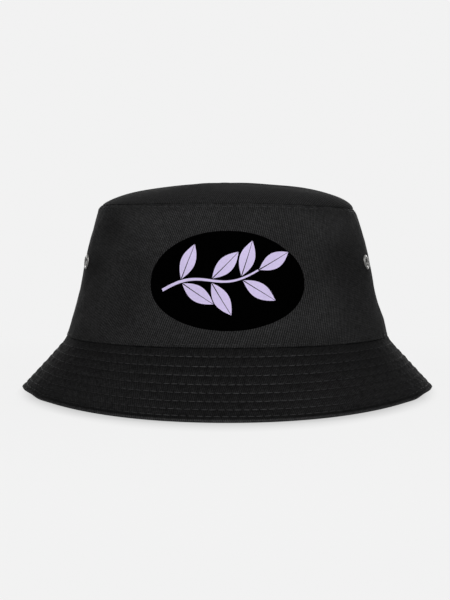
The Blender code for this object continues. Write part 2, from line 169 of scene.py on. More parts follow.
@dataclass(frozen=True)
class Dent:
    """A soft hollow, or with a negative depth a swelling, in the crown wall."""

    bearing: float
    rise: float
    wide: float
    high: float
    depth: float

    def at(self, bearing: Array, rise: Array, radius: float) -> Array:
        """How deep the wall lies because of the dent, where the radius turns bearings into distances."""
        turn = np.angle(np.exp(1j * (bearing - self.bearing)))
        return self.depth * bell(turn * radius, self.wide) * bell(rise - self.rise, self.high)


@dataclass(frozen=True)
class EdgeBend:
    """A place beside a side seam where the brim is a little longer or shorter."""

    from_seam: float
    spread: float
    reach: float

    def at(self, from_seam: Array) -> Array:
        """How much longer the brim is at distances from the side seam."""
        return self.reach * bell(from_seam - self.from_seam, self.spread)


@dataclass(frozen=True)
class HatForm:
    """The sewn form that every piece lies on: an oval crown wall, a domed top and a sloping quilted brim."""

    half_width: float = 0.102
    half_depth: float = 0.094
    seam_height: float = 0.0418
    crown_height: float = 0.0833
    crown_taper: float = 0.0211
    wall_sway: float = 0.00095
    shoulder: float = 0.0018
    right_shoulder: float = 0.0010
    shoulder_reach: float = 0.0028
    top_rise: float = 0.0131
    top_flatness: float = 2.15
    top_fullness: float = 0.69
    right_fullness: float = 0.55
    top_tilt: float = 0.010
    top_slack: Ripple = Ripple(17, around=3.0, along=9.0, size=0.00045)
    rim_calm: float = 0.3
    middle_calm: float = 0.35
    side_droop: float = 0.0012
    right_droop: float = 0.0026
    wall_slack: Ripple = Ripple(3, around=5.0, along=9.0, size=0.00042)
    fine_slack: Ripple = Ripple(11, around=22.0, along=38.0, size=0.00012)
    pucker: Ripple = Ripple(5, around=46.0, along=60.0, size=0.00016)
    sewn_reach: float = 0.012
    base_hold: float = 0.0045
    top_hold: float = 0.0055
    stitch_draw: float = 0.00022
    stitch_draw_width: float = 0.0007
    flange_depth: float = 0.0018
    brim_width: float = 0.0438
    front_slope: float = math.radians(70.2)
    side_slope: float = math.radians(46.4)
    slope_ease: float = 2.14
    brim_thickness: float = 0.0026
    edge_thickness: float = 0.0016
    edge_back: float = 0.0012
    root_thickness: float = 0.0013
    root_reach: float = 0.006
    root_inward: float = 0.954
    root_down: float = 0.299
    root_swell: float = 0.0012
    swell_start: float = 0.0006
    swell_fade: float = 0.010
    root_lift: float = 0.0011
    lift_fade: float = 0.003
    rows: tuple[float, ...] = (0.0050, 0.0107, 0.0160, 0.0213, 0.0263, 0.0313, 0.0360, 0.0398)
    upper_seed: int = 41
    under_seed: int = 61
    quilt_depth: float = 0.00036
    quilt_least: float = 0.3
    quilt_most: float = 1.7
    root_settle: float = 0.003
    edge_settle: float = 0.002
    edge_groove: float = 0.0003
    groove_width: float = 0.0009
    edge_flat: float = 0.0008
    puff_ease: float = 0.7
    light_ramp_ease: float = 1.5
    tip_reach: float = 0.0017
    tip_width: float = 0.0075
    tip_round: float = 0.003
    edge_bends: tuple[EdgeBend, ...] = (
        EdgeBend(0.0320, 0.0094, -0.00055),
        EdgeBend(0.0440, 0.0062, 0.00040),
    )
    base_stitch: float = 0.0018
    top_stitch: float = 0.0016
    dents: tuple[Dent, ...] = (
        Dent(math.radians(213), 0.0680, 0.015, 0.0090, 0.0011),
        Dent(math.radians(221), 0.0540, 0.020, 0.0050, -0.0005),
        Dent(math.radians(203), 0.0400, 0.011, 0.0080, 0.0008),
        Dent(math.radians(337), 0.0420, 0.012, 0.0100, 0.0003),
        Dent(math.radians(318), 0.0660, 0.018, 0.0080, -0.0005),
        Dent(math.radians(60), 0.0600, 0.020, 0.0120, 0.0009),
        Dent(math.radians(125), 0.0520, 0.018, 0.0140, 0.0008),
        Dent(math.radians(358), 0.0100, 0.030, 0.0150, -0.0012),
    )

    @property
    def mean_radius(self) -> float:
        """The crown wall's mean radius half way up."""
        return (self.half_width + self.half_depth - self.crown_taper) / 2

    @property
    def edge(self) -> float:
        """How far along the brim its turned edge starts to round."""
        return self.brim_width - self.edge_back

    def plan(self, bearing: Array, out: Array, height: Array) -> Array:
        """Points round the oval of the brim seam.

        Args:
            bearing: Bearings round the hat.
            out: Distances out from the oval.
            height: Heights above the ground.

        Returns:
            Points, with x, y and z on the last axis.
        """
        across = self.half_depth * np.cos(bearing)
        deep = self.half_width * np.sin(bearing)
        reach = np.hypot(across, deep)
        x = self.half_width * np.cos(bearing) + out * across / reach
        y = self.half_depth * np.sin(bearing) + out * deep / reach
        return np.stack(np.broadcast_arrays(x, y, height), axis=-1)

    def roll(self, bearing: Array) -> Array:
        """How far the wall rolls in at the top seam, less on the right."""
        right = np.clip(np.cos(bearing), 0.0, 1.0) ** 4
        return self.shoulder + (self.right_shoulder - self.shoulder) * right

    def droop(self, bearing: Array) -> Array:
        """How far the top seam sinks at the two sides, a little more on the right."""
        side = np.cos(bearing)
        return self.side_droop * side**2 + self.right_droop * np.clip(side, 0.0, 1.0) ** 2

    def drape(self, bearing: Array, rise: Array) -> Array:
        """How far the wall's cloth stands out of its even form.

        Args:
            bearing: Bearings round the hat.
            rise: Heights above the brim seam.

        Returns:
            Distances in metres, positive outwards.
        """
        below_top = self.crown_height - rise
        free = smooth_step(rise / self.sewn_reach) * smooth_step(below_top / self.sewn_reach)
        slack = self.wall_slack.at(bearing, rise) + self.fine_slack.at(bearing, rise)
        held = np.exp(-np.clip(rise, 0.0, 1.0) / self.base_hold)
        held = held + np.exp(-np.clip(below_top, 0.0, 1.0) / self.top_hold)
        sunk = sum(dent.at(bearing, rise, self.mean_radius) for dent in self.dents)
        lines = (self.base_stitch, self.crown_height - self.top_stitch)
        drawn = sum(self.stitch_draw * bell(rise - line, self.stitch_draw_width) for line in lines)
        return slack * free + self.pucker.at(bearing, rise) * held - sunk * free - drawn

    def wall(self, bearing: Array, rise: Array, depth: Array | float = 0.0) -> Array:
        """Points of the crown wall.

        Args:
            bearing: Bearings round the hat.
            rise: Heights above the brim seam.
            depth: Depths behind the outer face.

        Returns:
            Points, with x, y and z on the last axis.
        """
        bearing, rise = np.broadcast_arrays(bearing, rise)
        share = rise / self.crown_height
        bent = np.clip((rise - self.crown_height) / self.shoulder_reach + 1.0, 0.0, 1.0)
        out = -self.crown_taper * share - self.wall_sway * np.sin(TAU * share)
        out = out - self.roll(bearing) * bent**2
        lean = (self.crown_taper + self.wall_sway * TAU * np.cos(TAU * share)) / self.crown_height
        lean = lean + 2.0 * self.roll(bearing) * bent / self.shoulder_reach
        reach = np.sqrt(1.0 + lean**2)
        proud = self.drape(bearing, rise) - depth
        sink = self.droop(bearing) * smooth_step(share)
        height = self.seam_height + rise + proud * lean / reach - sink
        return self.plan(bearing, out + proud / reach, height)

    def dome(self, bearing: Array, share: Array, depth: float = 0.0) -> Array:
        """Points of the domed top.

        Args:
            bearing: Bearings round the hat.
            share: Shares of the way from the middle of the top to its rim.
            depth: Depth below the outer face.

        Returns:
            Points, with x, y and z on the last axis.
        """
        bearing, share = np.broadcast_arrays(bearing, share)
        rim = self.plan(bearing, -self.crown_taper - self.roll(bearing), np.zeros(bearing.shape))
        x = rim[..., 0] * share
        y = rim[..., 1] * share
        right = np.clip(np.cos(bearing), 0.0, 1.0) ** 2
        fullness = self.top_fullness + (self.right_fullness - self.top_fullness) * right
        swell = (1.0 - np.clip(share, 0.0, 1.0) ** self.top_flatness) ** fullness
        slack = self.top_slack.at(bearing, share * self.mean_radius)
        calm = smooth_step((1.0 - share) / self.rim_calm) * smooth_step(share / self.middle_calm)
        height = self.seam_height + self.crown_height + (self.top_rise + self.top_tilt * x) * swell
        height = height + slack * calm - self.droop(bearing) * (1.0 - swell) - depth
        return np.stack([x, y, height], axis=-1)

    def fall(self, bearing: Array) -> Array:
        """How steeply the brim falls: steep at the front and back, flatter at the sides."""
        share = np.abs(np.cos(bearing)) ** self.slope_ease
        return self.front_slope + (self.side_slope - self.front_slope) * share

    def brim(self, bearing: Array, along: Array, depth: Array | float = 0.0) -> Array:
        """Points of the brim.

        Args:
            bearing: Bearings round the hat.
            along: Distances from the brim's root.
            depth: Depths below its upper face.

        Returns:
            Points, with x, y and z on the last axis.
        """
        fall = self.fall(bearing)
        root_out = -self.flange_depth * self.root_inward
        root_up = -self.flange_depth * self.root_down
        from_seam = np.hypot(np.sin(bearing), self.tip_round) * self.half_width
        longer = self.tip_reach * np.exp(-from_seam / self.tip_width)
        longer = longer + sum(bend.at(from_seam) for bend in self.edge_bends)
        run = along + longer * (along / self.brim_width) ** 2
        swell = self.root_swell * (1.0 - np.exp(-along / self.swell_start)) * np.exp(-along / self.swell_fade)
        out = root_out + run * np.cos(fall) - depth * np.sin(fall) + swell
        lift = self.root_lift * np.exp(-along / self.lift_fade)
        height = self.seam_height + root_up + lift - run * np.sin(fall) - depth * np.cos(fall)
        return self.plan(bearing, out, height)

    def thickness(self, along: Array | float) -> Array:
        """How thick the brim is: thin at its root and at its edge, full between the rows of stitching.

        Args:
            along: Distances from the brim's root.

        Returns:
            Thicknesses in metres.
        """
        root = smooth_step(np.asarray(along) / self.root_reach)
        edge = smooth_step((np.asarray(along) - self.rows[-1]) / (self.edge - self.rows[-1]))
        full = self.root_thickness + (self.brim_thickness - self.root_thickness) * root
        return full + (self.edge_thickness - self.brim_thickness) * edge

    def puff(self, along: Array) -> Array:
        """How full the brim is, from 0 in a row of stitching to 1 half way between two rows.

        Args:
            along: Distances from the brim's root.

        Returns:
            Shares from 0 to 1.
        """
        first = self.rows[0]
        last = self.rows[-1]
        past_last = (along - last) / (self.edge - self.edge_flat - last)
        between = np.abs(np.sin(math.pi * np.interp(along, self.rows, np.arange(len(self.rows)))))
        root = np.cos(0.5 * math.pi * np.clip(along / first, 0.0, 1.0))
        edge = np.sin(0.5 * math.pi * np.clip(past_last, 0.0, 1.0))
        full = np.where(along < first, root, np.where(along > last, edge, between))
        return np.clip(full, 0.0, 1.0) ** self.puff_ease

    def light_ramp(self, along: Array) -> Array:
        """How much painted light the brim's cloth gets, from 0, painted shade just below a row of stitching,
        to 1 just above the next.

        Args:
            along: Distances from the brim's root.

        Returns:
            Shares from 0 to 1.
        """
        marks = (0.0, *self.rows, self.edge)
        place = np.interp(along, marks, np.arange(len(marks)))
        nearest = np.clip(np.floor(place + 1e-6), 0, len(marks) - 2)
        return np.clip(place - nearest, 0.0, 1.0) ** self.light_ramp_ease

    def quilt(self, bearing: Array, along: Array, seed: int) -> Array:
        """How deep the rows of stitching draw the brim's cloth in, uneven as it puckers along them.

        Args:
            bearing: Bearings round the hat.
            along: Distances from the brim's root.
            seed: The seed of this face's unevenness.

        Returns:
            Depths in metres.
        """
        bearing, along = np.broadcast_arrays(bearing, along)
        full = self.puff(along)
        settled = smooth_step(along / self.root_settle) * smooth_step((self.edge - along) / self.edge_settle)
        uneven = 1.0 + settled * Ripple(seed, around=60.0, along=160.0, size=0.25).at(bearing, along)
        crease = Ripple(seed + 1, around=120.0, along=190.0, size=0.00009).at(bearing, along)
        wave = Ripple(seed + 2, around=14.0, along=20.0, size=0.00012).at(bearing, along)
        groove = self.edge_groove * bell(along - self.rows[-1], self.groove_width)
        drawn = self.quilt_depth * (1.0 - full * np.clip(uneven, self.quilt_least, self.quilt_most))
        return drawn + groove + (crease * full + wave) * settled


@dataclass(frozen=True)
class ClothGrid:
    """A grid of points on a cloth, with the cloth's own flat coordinates and the painted light and shade of
    each point.
    """

    points: Array
    flat: Array
    relief: Array

    @classmethod
    def even(cls, points: Array, flat: Array) -> ClothGrid:
        """A grid with the same painted light all over."""
        return cls(points, flat, np.full(points.shape[:2], EVEN))

    def normals(self) -> Array:
        """Unit normals, on the side where the first axis turned into the second points.

        Returns:
            One normal for each point.
        """
        first = np.gradient(self.points, axis=0)
        second = np.gradient(self.points, axis=1)
        cross = np.cross(first, second)
        return cross / np.maximum(np.linalg.norm(cross, axis=-1, keepdims=True), 1e-12)

    def offset(self, distance: float) -> Array:
        """The points moved along their normals."""
        return self.points + distance * self.normals()


def mesh_of(name: str, points: Array, faces: Iterable[Sequence[int]]) -> Mesh:
    """A mesh whose faces point outwards, smooth across its gentle bends.

    Args:
        name: The mesh's name.
        points: Points, one to a row.
        faces: The point numbers of each face.

    Returns:
        The mesh.
    """
    mesh = bpy.data.meshes.new(name)
    mesh.from_pydata(points.tolist(), [], [list(face) for face in faces])
    shape = bmesh.new()
    shape.from_mesh(mesh)
    bmesh.ops.recalc_face_normals(shape, faces=shape.faces)
    shape.to_mesh(mesh)
    shape.free()
    mesh.shade_smooth()
    mesh.set_sharp_from_angle(angle=SHARP_ANGLE)
    return mesh


def grid_quads(index: Array) -> Array:
    """The four corners of every square in a grid of point numbers."""
    corners = (index[:-1, :-1], index[1:, :-1], index[1:, 1:], index[:-1, 1:])
    return np.stack(corners, axis=-1).reshape(-1, 4)


def shell(name: str, grid: ClothGrid, inner: Array, closed: bool = False, pole: bool = False) -> Mesh:
    """A closed thin sheet between a grid and its other face.

    Args:
        name: The mesh's name.
        grid: The cloth's right side.
        inner: The points of its wrong side, in the same order.
        closed: Whether the first axis runs all the way round.
        pole: Whether the second axis starts at a single point.

    Returns:
        The mesh, with the cloth's flat coordinates as its UV map.
    """
    count = grid.points.shape[0] * grid.points.shape[1]
    index = np.arange(count).reshape(grid.points.shape[:2])
    if closed:
        index = np.vstack([index, index[:1]])
    quads = grid_quads(index)
    faces = quads.tolist() + (quads[:, ::-1] + count).tolist()
    points = [grid.points.reshape(-1, 3), inner.reshape(-1, 3)]
    flat = [grid.flat.reshape(-1, 2)] * 2
    relief = [grid.relief.reshape(-1)] * 2
    rims = [index[:, -1]]
    if pole:
        points.append(np.stack([grid.points[:, 0].mean(axis=0), inner[:, 0].mean(axis=0)]))
        flat.append(np.repeat(grid.flat[:, 0].mean(axis=0)[None], 2, axis=0))
        relief.append(np.repeat(grid.relief[:, 0].mean(), 2))
        ring = index[:, 0]
        for near, far in zip(ring, ring[1:]):
            faces.append([2 * count, far, near])
            faces.append([2 * count + 1, near + count, far + count])
    else:
        rims.append(index[:, 0])
    if not closed:
        rims += [index[0], index[-1]]
    for rim in rims:
        for near, far in zip(rim, rim[1:]):
            faces.append([near, far, far + count, near + count])
    mesh = mesh_of(name, np.concatenate(points), faces)
    lay_flat(mesh, np.concatenate(flat), np.concatenate(relief))
    return mesh


def lay_flat(mesh: Mesh, flat: Array, relief: Array) -> None:
    """Writes the cloth's flat coordinates as a UV map and its painted light and shade as an attribute.

    Args:
        mesh: The mesh to write to.
        flat: Flat coordinates, one pair to a point.
        relief: Levels of painted light and shade, one to a point.
    """
    corners = np.empty(len(mesh.loops), dtype=np.int64)
    mesh.loops.foreach_get("vertex_index", corners)
    layer = mesh.uv_layers.new(name="flat")
    layer.data.foreach_set("uv", flat[corners].astype(np.float32).ravel())
    proud = mesh.attributes.new("relief", "FLOAT", "POINT")
    proud.data.foreach_set("value", relief.astype(np.float32))


def turned(name: str, profile: Sequence[tuple[float, float]], sides: int, frame: Matrix) -> Mesh:
    """A ring turned about Z from its cross-section, then put in place.

    Args:
        name: The mesh's name.
        profile: Radius and height of each point of the closed cross-section.
        sides: The number of sides round.
        frame: The place and turn of the ring.

    Returns:
        The mesh, in place.
    """
    spin = np.linspace(0.0, TAU, sides, endpoint=False)
    radius, height = np.array(profile).T
    x = np.outer(np.cos(spin), radius)
    y = np.outer(np.sin(spin), radius)
    points = np.stack([x, y, np.broadcast_to(height, x.shape)], axis=-1)
    index = np.arange(sides * len(radius)).reshape(sides, len(radius))
    index = np.vstack([index, index[:1]])
    index = np.hstack([index, index[:, :1]])
    mesh = mesh_of(name, points.reshape(-1, 3), grid_quads(index).tolist())
    mesh.transform(frame)
    return mesh


def make_piece(name: str, mesh: Mesh, finish: Material) -> Piece:
    """An object of a mesh in its finish, in the scene.

    Args:
        name: The piece's name.
        mesh: Its mesh, already in place.
        finish: Its material.

    Returns:
        The object.
    """
    mesh.materials.clear()
    mesh.materials.append(finish)
    piece = bpy.data.objects.new(name, mesh)
    bpy.context.collection.objects.link(piece)
    return piece


def attach(piece: Piece, body: Body, slot: Slot, *nodes: str) -> None:
    """Lets a piece ride on its body and stand for its solids.

    Args:
        piece: The finished piece.
        body: The body that it moves with.
        slot: The record's material slot, which is not used.
        nodes: The solids that it replaces.
    """
    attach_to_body(piece, body.value)
    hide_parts(*nodes)
    LOG.info("%s: %d faces, stands for %s", piece.name, len(piece.data.polygons), ", ".join(nodes))


def grey(level: float) -> tuple[float, float, float, float]:
    """An opaque grey."""
    return (level, level, level, 1.0)


class Nodes:
    """A node tree that is filled in code."""

    def __init__(self, tree: bpy.types.NodeTree) -> None:
        """Takes the tree to fill."""
        self.tree = tree

    def add(self, kind: str, inputs: dict[str, object] | None = None, **settings: object) -> bpy.types.Node:
        """A node with its settings and inputs.

        Args:
            kind: The node's type.
            inputs: A value, or an output socket to link, for each named input.
            settings: The node's own properties.

        Returns:
            The node.
        """
        node = self.tree.nodes.new(kind)
        for name, value in settings.items():
            setattr(node, name, value)
        for name, value in (inputs or {}).items():
            self.feed(node.inputs[name], value)
        return node

    def feed(self, socket: Socket, value: object) -> None:
        """Links an output to a socket, or sets the socket's own value.

        Args:
            socket: The input socket.
            value: An output socket, or a plain value.
        """
        if isinstance(value, Socket):
            self.tree.links.new(value, socket)
        else:
            socket.default_value = value

    def math(self, operation: str, first: object, second: object = 0.0) -> Socket:
        """The result of a Math node.

        Args:
            operation: What the node works out.
            first: Its first value or socket.
            second: Its second value or socket.

        Returns:
            The result.
        """
        node = self.add("ShaderNodeMath", operation=operation)
        self.feed(node.inputs[0], first)
        self.feed(node.inputs[1], second)
        return node.outputs[0]

    def product(self, first: object, *others: object) -> Socket:
        """All the factors multiplied.

        Args:
            first: The first factor.
            others: The other factors.

        Returns:
            The product.
        """
        total = first
        for other in others:
            total = self.math("MULTIPLY", total, other)
        return total

    def remap(
        self, value: object, low: float, high: float, start: float = 0.0, stop: float = 1.0
    ) -> Socket:
        """A value spread from its range, start to stop, over low to high, and held at the ends."""
        ends = {"From Min": start, "From Max": stop, "To Min": low, "To Max": high}
        return self.add("ShaderNodeMapRange", {"Value": value, **ends}).outputs["Result"]

    def within(self, value: object, full: float, none: float) -> Socket:
        """How far a value is inside a limit: 1 up to one value, and 0 from the other on."""
        return self.remap(value, 1.0, 0.0, full, none)

    def blend(self, share: object, first: object, second: object) -> Socket:
        """A mix of two shaders.

        Args:
            share: The share of the second shader.
            first: The first shader.
            second: The second shader.

        Returns:
            The mix.
        """
        node = self.add("ShaderNodeMixShader", {"Fac": share})
        self.feed(node.inputs[1], first)
        self.feed(node.inputs[2], second)
        return node.outputs["Shader"]

    def seen(self) -> Socket:
        """1 for what the camera or a reflection sees, and 0 for light that falls on other pieces."""
        ray = self.add("ShaderNodeLightPath").outputs
        return self.math("MAXIMUM", ray["Is Camera Ray"], ray["Is Glossy Ray"])


class FinishNodes(Nodes):
    """The node tree of one finish, ending in its Principled shader."""

    def __init__(self, name: str) -> None:
        """Starts a material with a Principled shader.

        Args:
            name: The material's name.
        """
        self.material = bpy.data.materials.new(name)
        self.material.use_nodes = True
        super().__init__(self.material.node_tree)
        self.shader = self.tree.nodes["Principled BSDF"]

    def flat(self, lean: float = 0.0) -> Socket:
        """The cloth's flat coordinates, turned by an angle where one is given.

        Args:
            lean: The angle, in radians.

        Returns:
            The coordinates.
        """
        flat = self.add("ShaderNodeUVMap", uv_map="flat").outputs["UV"]
        if not lean:
            return flat
        return self.add("ShaderNodeMapping", {"Vector": flat, "Rotation": (0.0, 0.0, lean)}).outputs["Vector"]

    def place(self) -> Socket:
        """The piece's own coordinates."""
        return self.add("ShaderNodeTexCoord").outputs["Object"]

    def spread(self, noise: object, amount: float) -> Socket:
        """A factor about 1 from the middle range of a noise."""
        return self.remap(noise, 1.0 - amount, 1.0 + amount, *NOISE_RANGE)

    def shade(self, colour: Colour, light: object) -> Socket:
        """A colour made lighter and darker by a factor.

        Args:
            colour: The colour.
            light: The factor.

        Returns:
            The shaded colour.
        """
        factor = self.add("ShaderNodeCombineColor", dict.fromkeys(("Red", "Green", "Blue"), light))
        node = self.add("ShaderNodeMix", data_type="RGBA", blend_type="MULTIPLY")
        # A Mix node has a socket for each kind of value. These three are the factor and the two colours.
        for index, value in ((0, 1.0), (6, (*colour, 1.0)), (7, factor.outputs["Color"])):
            self.feed(node.inputs[index], value)
        return node.outputs[2]

    def noise(self, place: object, scale: float, detail: float = 3.0) -> Socket:
        """Noise of about 0 to 1, with so many grains to the metre."""
        given = {"Vector": place, "Scale": scale, "Detail": detail}
        return self.add("ShaderNodeTexNoise", given).outputs["Fac"]

    def wave(self, place: object, direction: str, pitch: float, wobble: float) -> Socket:
        """Bands of 0 to 1 across a direction, one to each pitch.

        Args:
            place: The coordinates to lay them on.
            direction: The axis across the bands.
            pitch: Their pitch in metres.
            wobble: How far they stray.

        Returns:
            The bands.
        """
        # At scale 1 the bands of a wave texture repeat every pi / 10 metres.
        given = {"Vector": place, "Scale": math.pi / 10 / pitch, "Distortion": wobble}
        given |= {"Detail": 2.0, "Detail Scale": 1.4}
        node = self.add("ShaderNodeTexWave", given, wave_type="BANDS", bands_direction=direction)
        return node.outputs["Fac"]

    def bump(self, height: object, strength: float, distance: float) -> None:
        """Lets a height roughen the shader's surface."""
        node = self.add("ShaderNodeBump", {"Height": height, "Strength": strength, "Distance": distance})
        self.feed(self.shader.inputs["Normal"], node.outputs["Normal"])

    def set(self, **values: object) -> None:
        """Sets or links the shader's inputs, named with underscores for spaces."""
        for name, value in values.items():
            self.feed(self.shader.inputs[name.replace("_", " ")], value)


@dataclass(frozen=True)
class TwillFinish:
    """Cotton twill: steep ridges of yarn, lint, uneven yarns, a little fading, a painted highlight on high
    spots and on the turned edge, and painted shade in hollows and creases.
    """

    name: str
    colour: Colour
    ridge: float = 0.60
    ridge_lift: float = 1.5
    slub: float = 0.22
    high_spot_highlight: float = 0.20
    fading: float = 0.06
    edge_highlight: float = 1.0
    # How much painted shade darkens the crease inside the turned edge.
    crease: float = 0.32
    float_pitch: float = 1.3 * TWILL_PITCH
    float_wobble: float = 4.0
    float_least: float = 0.6
    yarn_height: float = 0.75
    lint_height: float = 0.35
    lint_grain: float = 1500.0
    yarn_grain: float = 380.0
    fading_grain: float = 26.0
    roughness: tuple[float, float] = (0.98, 0.88)
    gloss: float = 0.02
    relief_strength: float = 0.7
    relief_depth: float = 0.00014

    def material(self) -> Material:
        """The finished material.

        Returns:
            The material, which reads the cloth's flat coordinates and its painted light.
        """
        nodes = FinishNodes(self.name)
        flat = nodes.flat()
        turn = nodes.flat(TWILL_LEAN)
        wale = nodes.wave(turn, "X", TWILL_PITCH, TWILL_WOBBLE)
        floats = nodes.wave(turn, "Y", self.float_pitch, self.float_wobble)
        lint = nodes.noise(flat, self.lint_grain)
        relief = nodes.add("ShaderNodeAttribute", attribute_name="relief").outputs["Fac"]
        yarn = nodes.product(wale, nodes.remap(floats, self.float_least, 1.0))
        height = nodes.math(
            "ADD", nodes.product(yarn, self.yarn_height), nodes.product(lint, self.lint_height)
        )
        light = nodes.product(
            nodes.remap(yarn, 1.0 - self.ridge, 1.0 + self.ridge * self.ridge_lift),
            nodes.spread(lint, self.slub),
            nodes.spread(nodes.noise(flat, self.yarn_grain), self.slub),
            nodes.spread(nodes.noise(nodes.place(), self.fading_grain), self.fading),
            # Painted light: a painted highlight on high spots and on the turned edge, and painted shade in
            # hollows and creases.
            nodes.remap(relief, 1.0 - self.high_spot_highlight, 1.0 + self.high_spot_highlight),
            nodes.remap(relief, 1.0, self.edge_highlight, 1.0, PAINTED_EDGE_LIGHT),
            nodes.remap(relief, 1.0 - self.crease, 1.0, PAINTED_CREASE_SHADE, 0.0),
        )
        nodes.set(
            Base_Color=nodes.shade(self.colour, light),
            Roughness=nodes.remap(height, *self.roughness),
            Specular_IOR_Level=self.gloss,
        )
        nodes.bump(height, self.relief_strength, self.relief_depth)
        return nodes.material


@dataclass(frozen=True)
class PlainWeaveFinish:
    """Plain woven tape or band: crossing yarns of one pitch, with lint."""

    name: str
    colour: Colour
    pitch: float = 0.0006
    contrast: float = 0.35
    sheen: float = 0.02
    sheen_roughness: float = 0.4
    roughness: float = 0.92
    gloss: float = 0.05
    wobble: float = 0.8
    lint_grain: float = 900.0
    lint_height: float = 0.4
    relief_strength: float = 0.6
    relief_depth: float = 0.00012

    def material(self) -> Material:
        """The finished material.

        Returns:
            The material, which reads the cloth's flat coordinates.
        """
        nodes = FinishNodes(self.name)
        flat = nodes.flat()
        across, along = (nodes.wave(flat, axis, self.pitch, self.wobble) for axis in ("X", "Y"))
        lint = nodes.product(nodes.noise(flat, self.lint_grain), self.lint_height)
        weave = nodes.math("ADD", nodes.product(across, along), lint)
        light = nodes.remap(weave, 1.0 - self.contrast, 1.0 + self.contrast)
        nodes.set(
            Base_Color=nodes.shade(self.colour, light),
            Roughness=self.roughness,
            Sheen_Weight=self.sheen,
            Sheen_Roughness=self.sheen_roughness,
            Specular_IOR_Level=self.gloss,
        )
        nodes.bump(weave, self.relief_strength, self.relief_depth)
        return nodes.material


@dataclass(frozen=True)
class FeltFinish:
    """Bonded non-woven stiffener: short pale fibres in every direction."""

    name: str
    colour: Colour
    fibre_grain: float = 700.0
    fibre_detail: float = 5.0
    unevenness: float = 0.2
    roughness: float = 0.95
    relief_strength: float = 0.4
    relief_depth: float = 0.0002

    def material(self) -> Material:
        """The finished material.

        Returns:
            The material.
        """
        nodes = FinishNodes(self.name)
        fibre = nodes.noise(nodes.place(), self.fibre_grain, self.fibre_detail)
        colour = nodes.shade(self.colour, nodes.spread(fibre, self.unevenness))
        nodes.set(Base_Color=colour, Roughness=self.roughness)
        nodes.bump(fibre, self.relief_strength, self.relief_depth)
        return nodes.material


@dataclass(frozen=True)
class ThreadFinish:
    """Spun sewing thread: the slight colour change of its twist, and painted shade that darkens it towards
    the hat's sides.
    """

    name: str
    colour: Colour
    twist_grain: float = 2200.0
    twist_contrast: float = 0.3
    wear_grain: float = 90.0
    wear_contrast: float = 0.4
    lit_until: float = 0.03
    shaded_from: float = 0.085
    shaded_level: float = 0.25
    roughness: float = 0.7
    gloss: float = 0.06
    relief_strength: float = 0.5
    relief_depth: float = 0.00008

    def material(self) -> Material:
        """The finished material.

        Returns:
            The material.
        """
        nodes = FinishNodes(self.name)
        place = nodes.place()
        twist = nodes.noise(place, self.twist_grain)
        wear = nodes.noise(place, self.wear_grain)
        across = nodes.math("ABSOLUTE", nodes.add("ShaderNodeSeparateXYZ", {"Vector": place}).outputs["X"])
        light = nodes.product(
            nodes.spread(twist, self.twist_contrast),
            nodes.spread(wear, self.wear_contrast),
            # Painted shade: the thread is drawn darker towards the hat's sides.
            nodes.remap(across, 1.0, self.shaded_level, self.lit_until, self.shaded_from),
        )
        nodes.set(
            Base_Color=nodes.shade(self.colour, light),
            Roughness=self.roughness,
            Specular_IOR_Level=self.gloss,
        )
        nodes.bump(twist, self.relief_strength, self.relief_depth)
        return nodes.material


@dataclass(frozen=True)
class NickelFinish:
    """Nickel plate: dulled by handling, with a faint haze and fine scratches."""

    name: str
    colour: Colour
    haze_grain: float = 420.0
    haze_detail: float = 4.0
    haze_contrast: float = 0.1
    roughness: tuple[float, float] = (0.42, 0.58)
    scratch_grain: float = 2600.0
    relief_strength: float = 0.08
    relief_depth: float = 0.0001

    def material(self) -> Material:
        """The finished material.

        Returns:
            The material.
        """
        nodes = FinishNodes(self.name)
        place = nodes.place()
        haze = nodes.noise(place, self.haze_grain, self.haze_detail)
        nodes.set(
            Base_Color=nodes.shade(self.colour, nodes.spread(haze, self.haze_contrast)),
            Metallic=1.0,
            Roughness=nodes.remap(haze, *self.roughness),
        )
        scratches = nodes.noise(place, self.scratch_grain)
        nodes.bump(scratches, self.relief_strength, self.relief_depth)
        return nodes.material


@dataclass(frozen=True)
class InkFinish:
    """Transfer print: a thin matt film that takes the twill's ridges, with faint speckles of wear."""

    name: str
    colour: Colour
    speckle: float
    gloss: float
    speckle_grain: float = 700.0
    speckle_detail: float = 4.0
    roughness: tuple[float, float] = (0.7, 0.86)
    relief_strength: float = 0.25
    relief_depth: float = 0.00008

    def material(self) -> Material:
        """The finished material.

        Returns:
            The material.
        """
        nodes = FinishNodes(self.name)
        grain = nodes.noise(nodes.flat(), self.speckle_grain, self.speckle_detail)
        nodes.set(
            Base_Color=nodes.shade(self.colour, nodes.spread(grain, self.speckle)),
            Roughness=nodes.remap(grain, *self.roughness),
            Specular_IOR_Level=self.gloss,
        )
        wale = nodes.wave(nodes.flat(TWILL_LEAN), "X", TWILL_PITCH, TWILL_WOBBLE)
        nodes.bump(wale, self.relief_strength, self.relief_depth)
        return nodes.material


def panel_bearings(half: Half, count: int, gap: float, radius: float) -> Array:
    """Bearings from one side seam to the other, closer together at the seams.

    Args:
        half: The half of the hat.
        count: The number of bearings.
        gap: The gap left between the two halves.
        radius: The radius that turns the gap into a bearing.

    Returns:
        Bearings in a column.
    """
    trim = gap / 2 / radius
    ends = SEAM_STEPS / radius
    last = math.pi - 2 * trim
    middle = np.linspace(ends[-1], last - ends[-1], count - 2 * len(ends) + 2)
    turn = np.concatenate([ends[:-1], middle, last - ends[-2::-1]])
    return (half.start + trim + turn)[:, None]


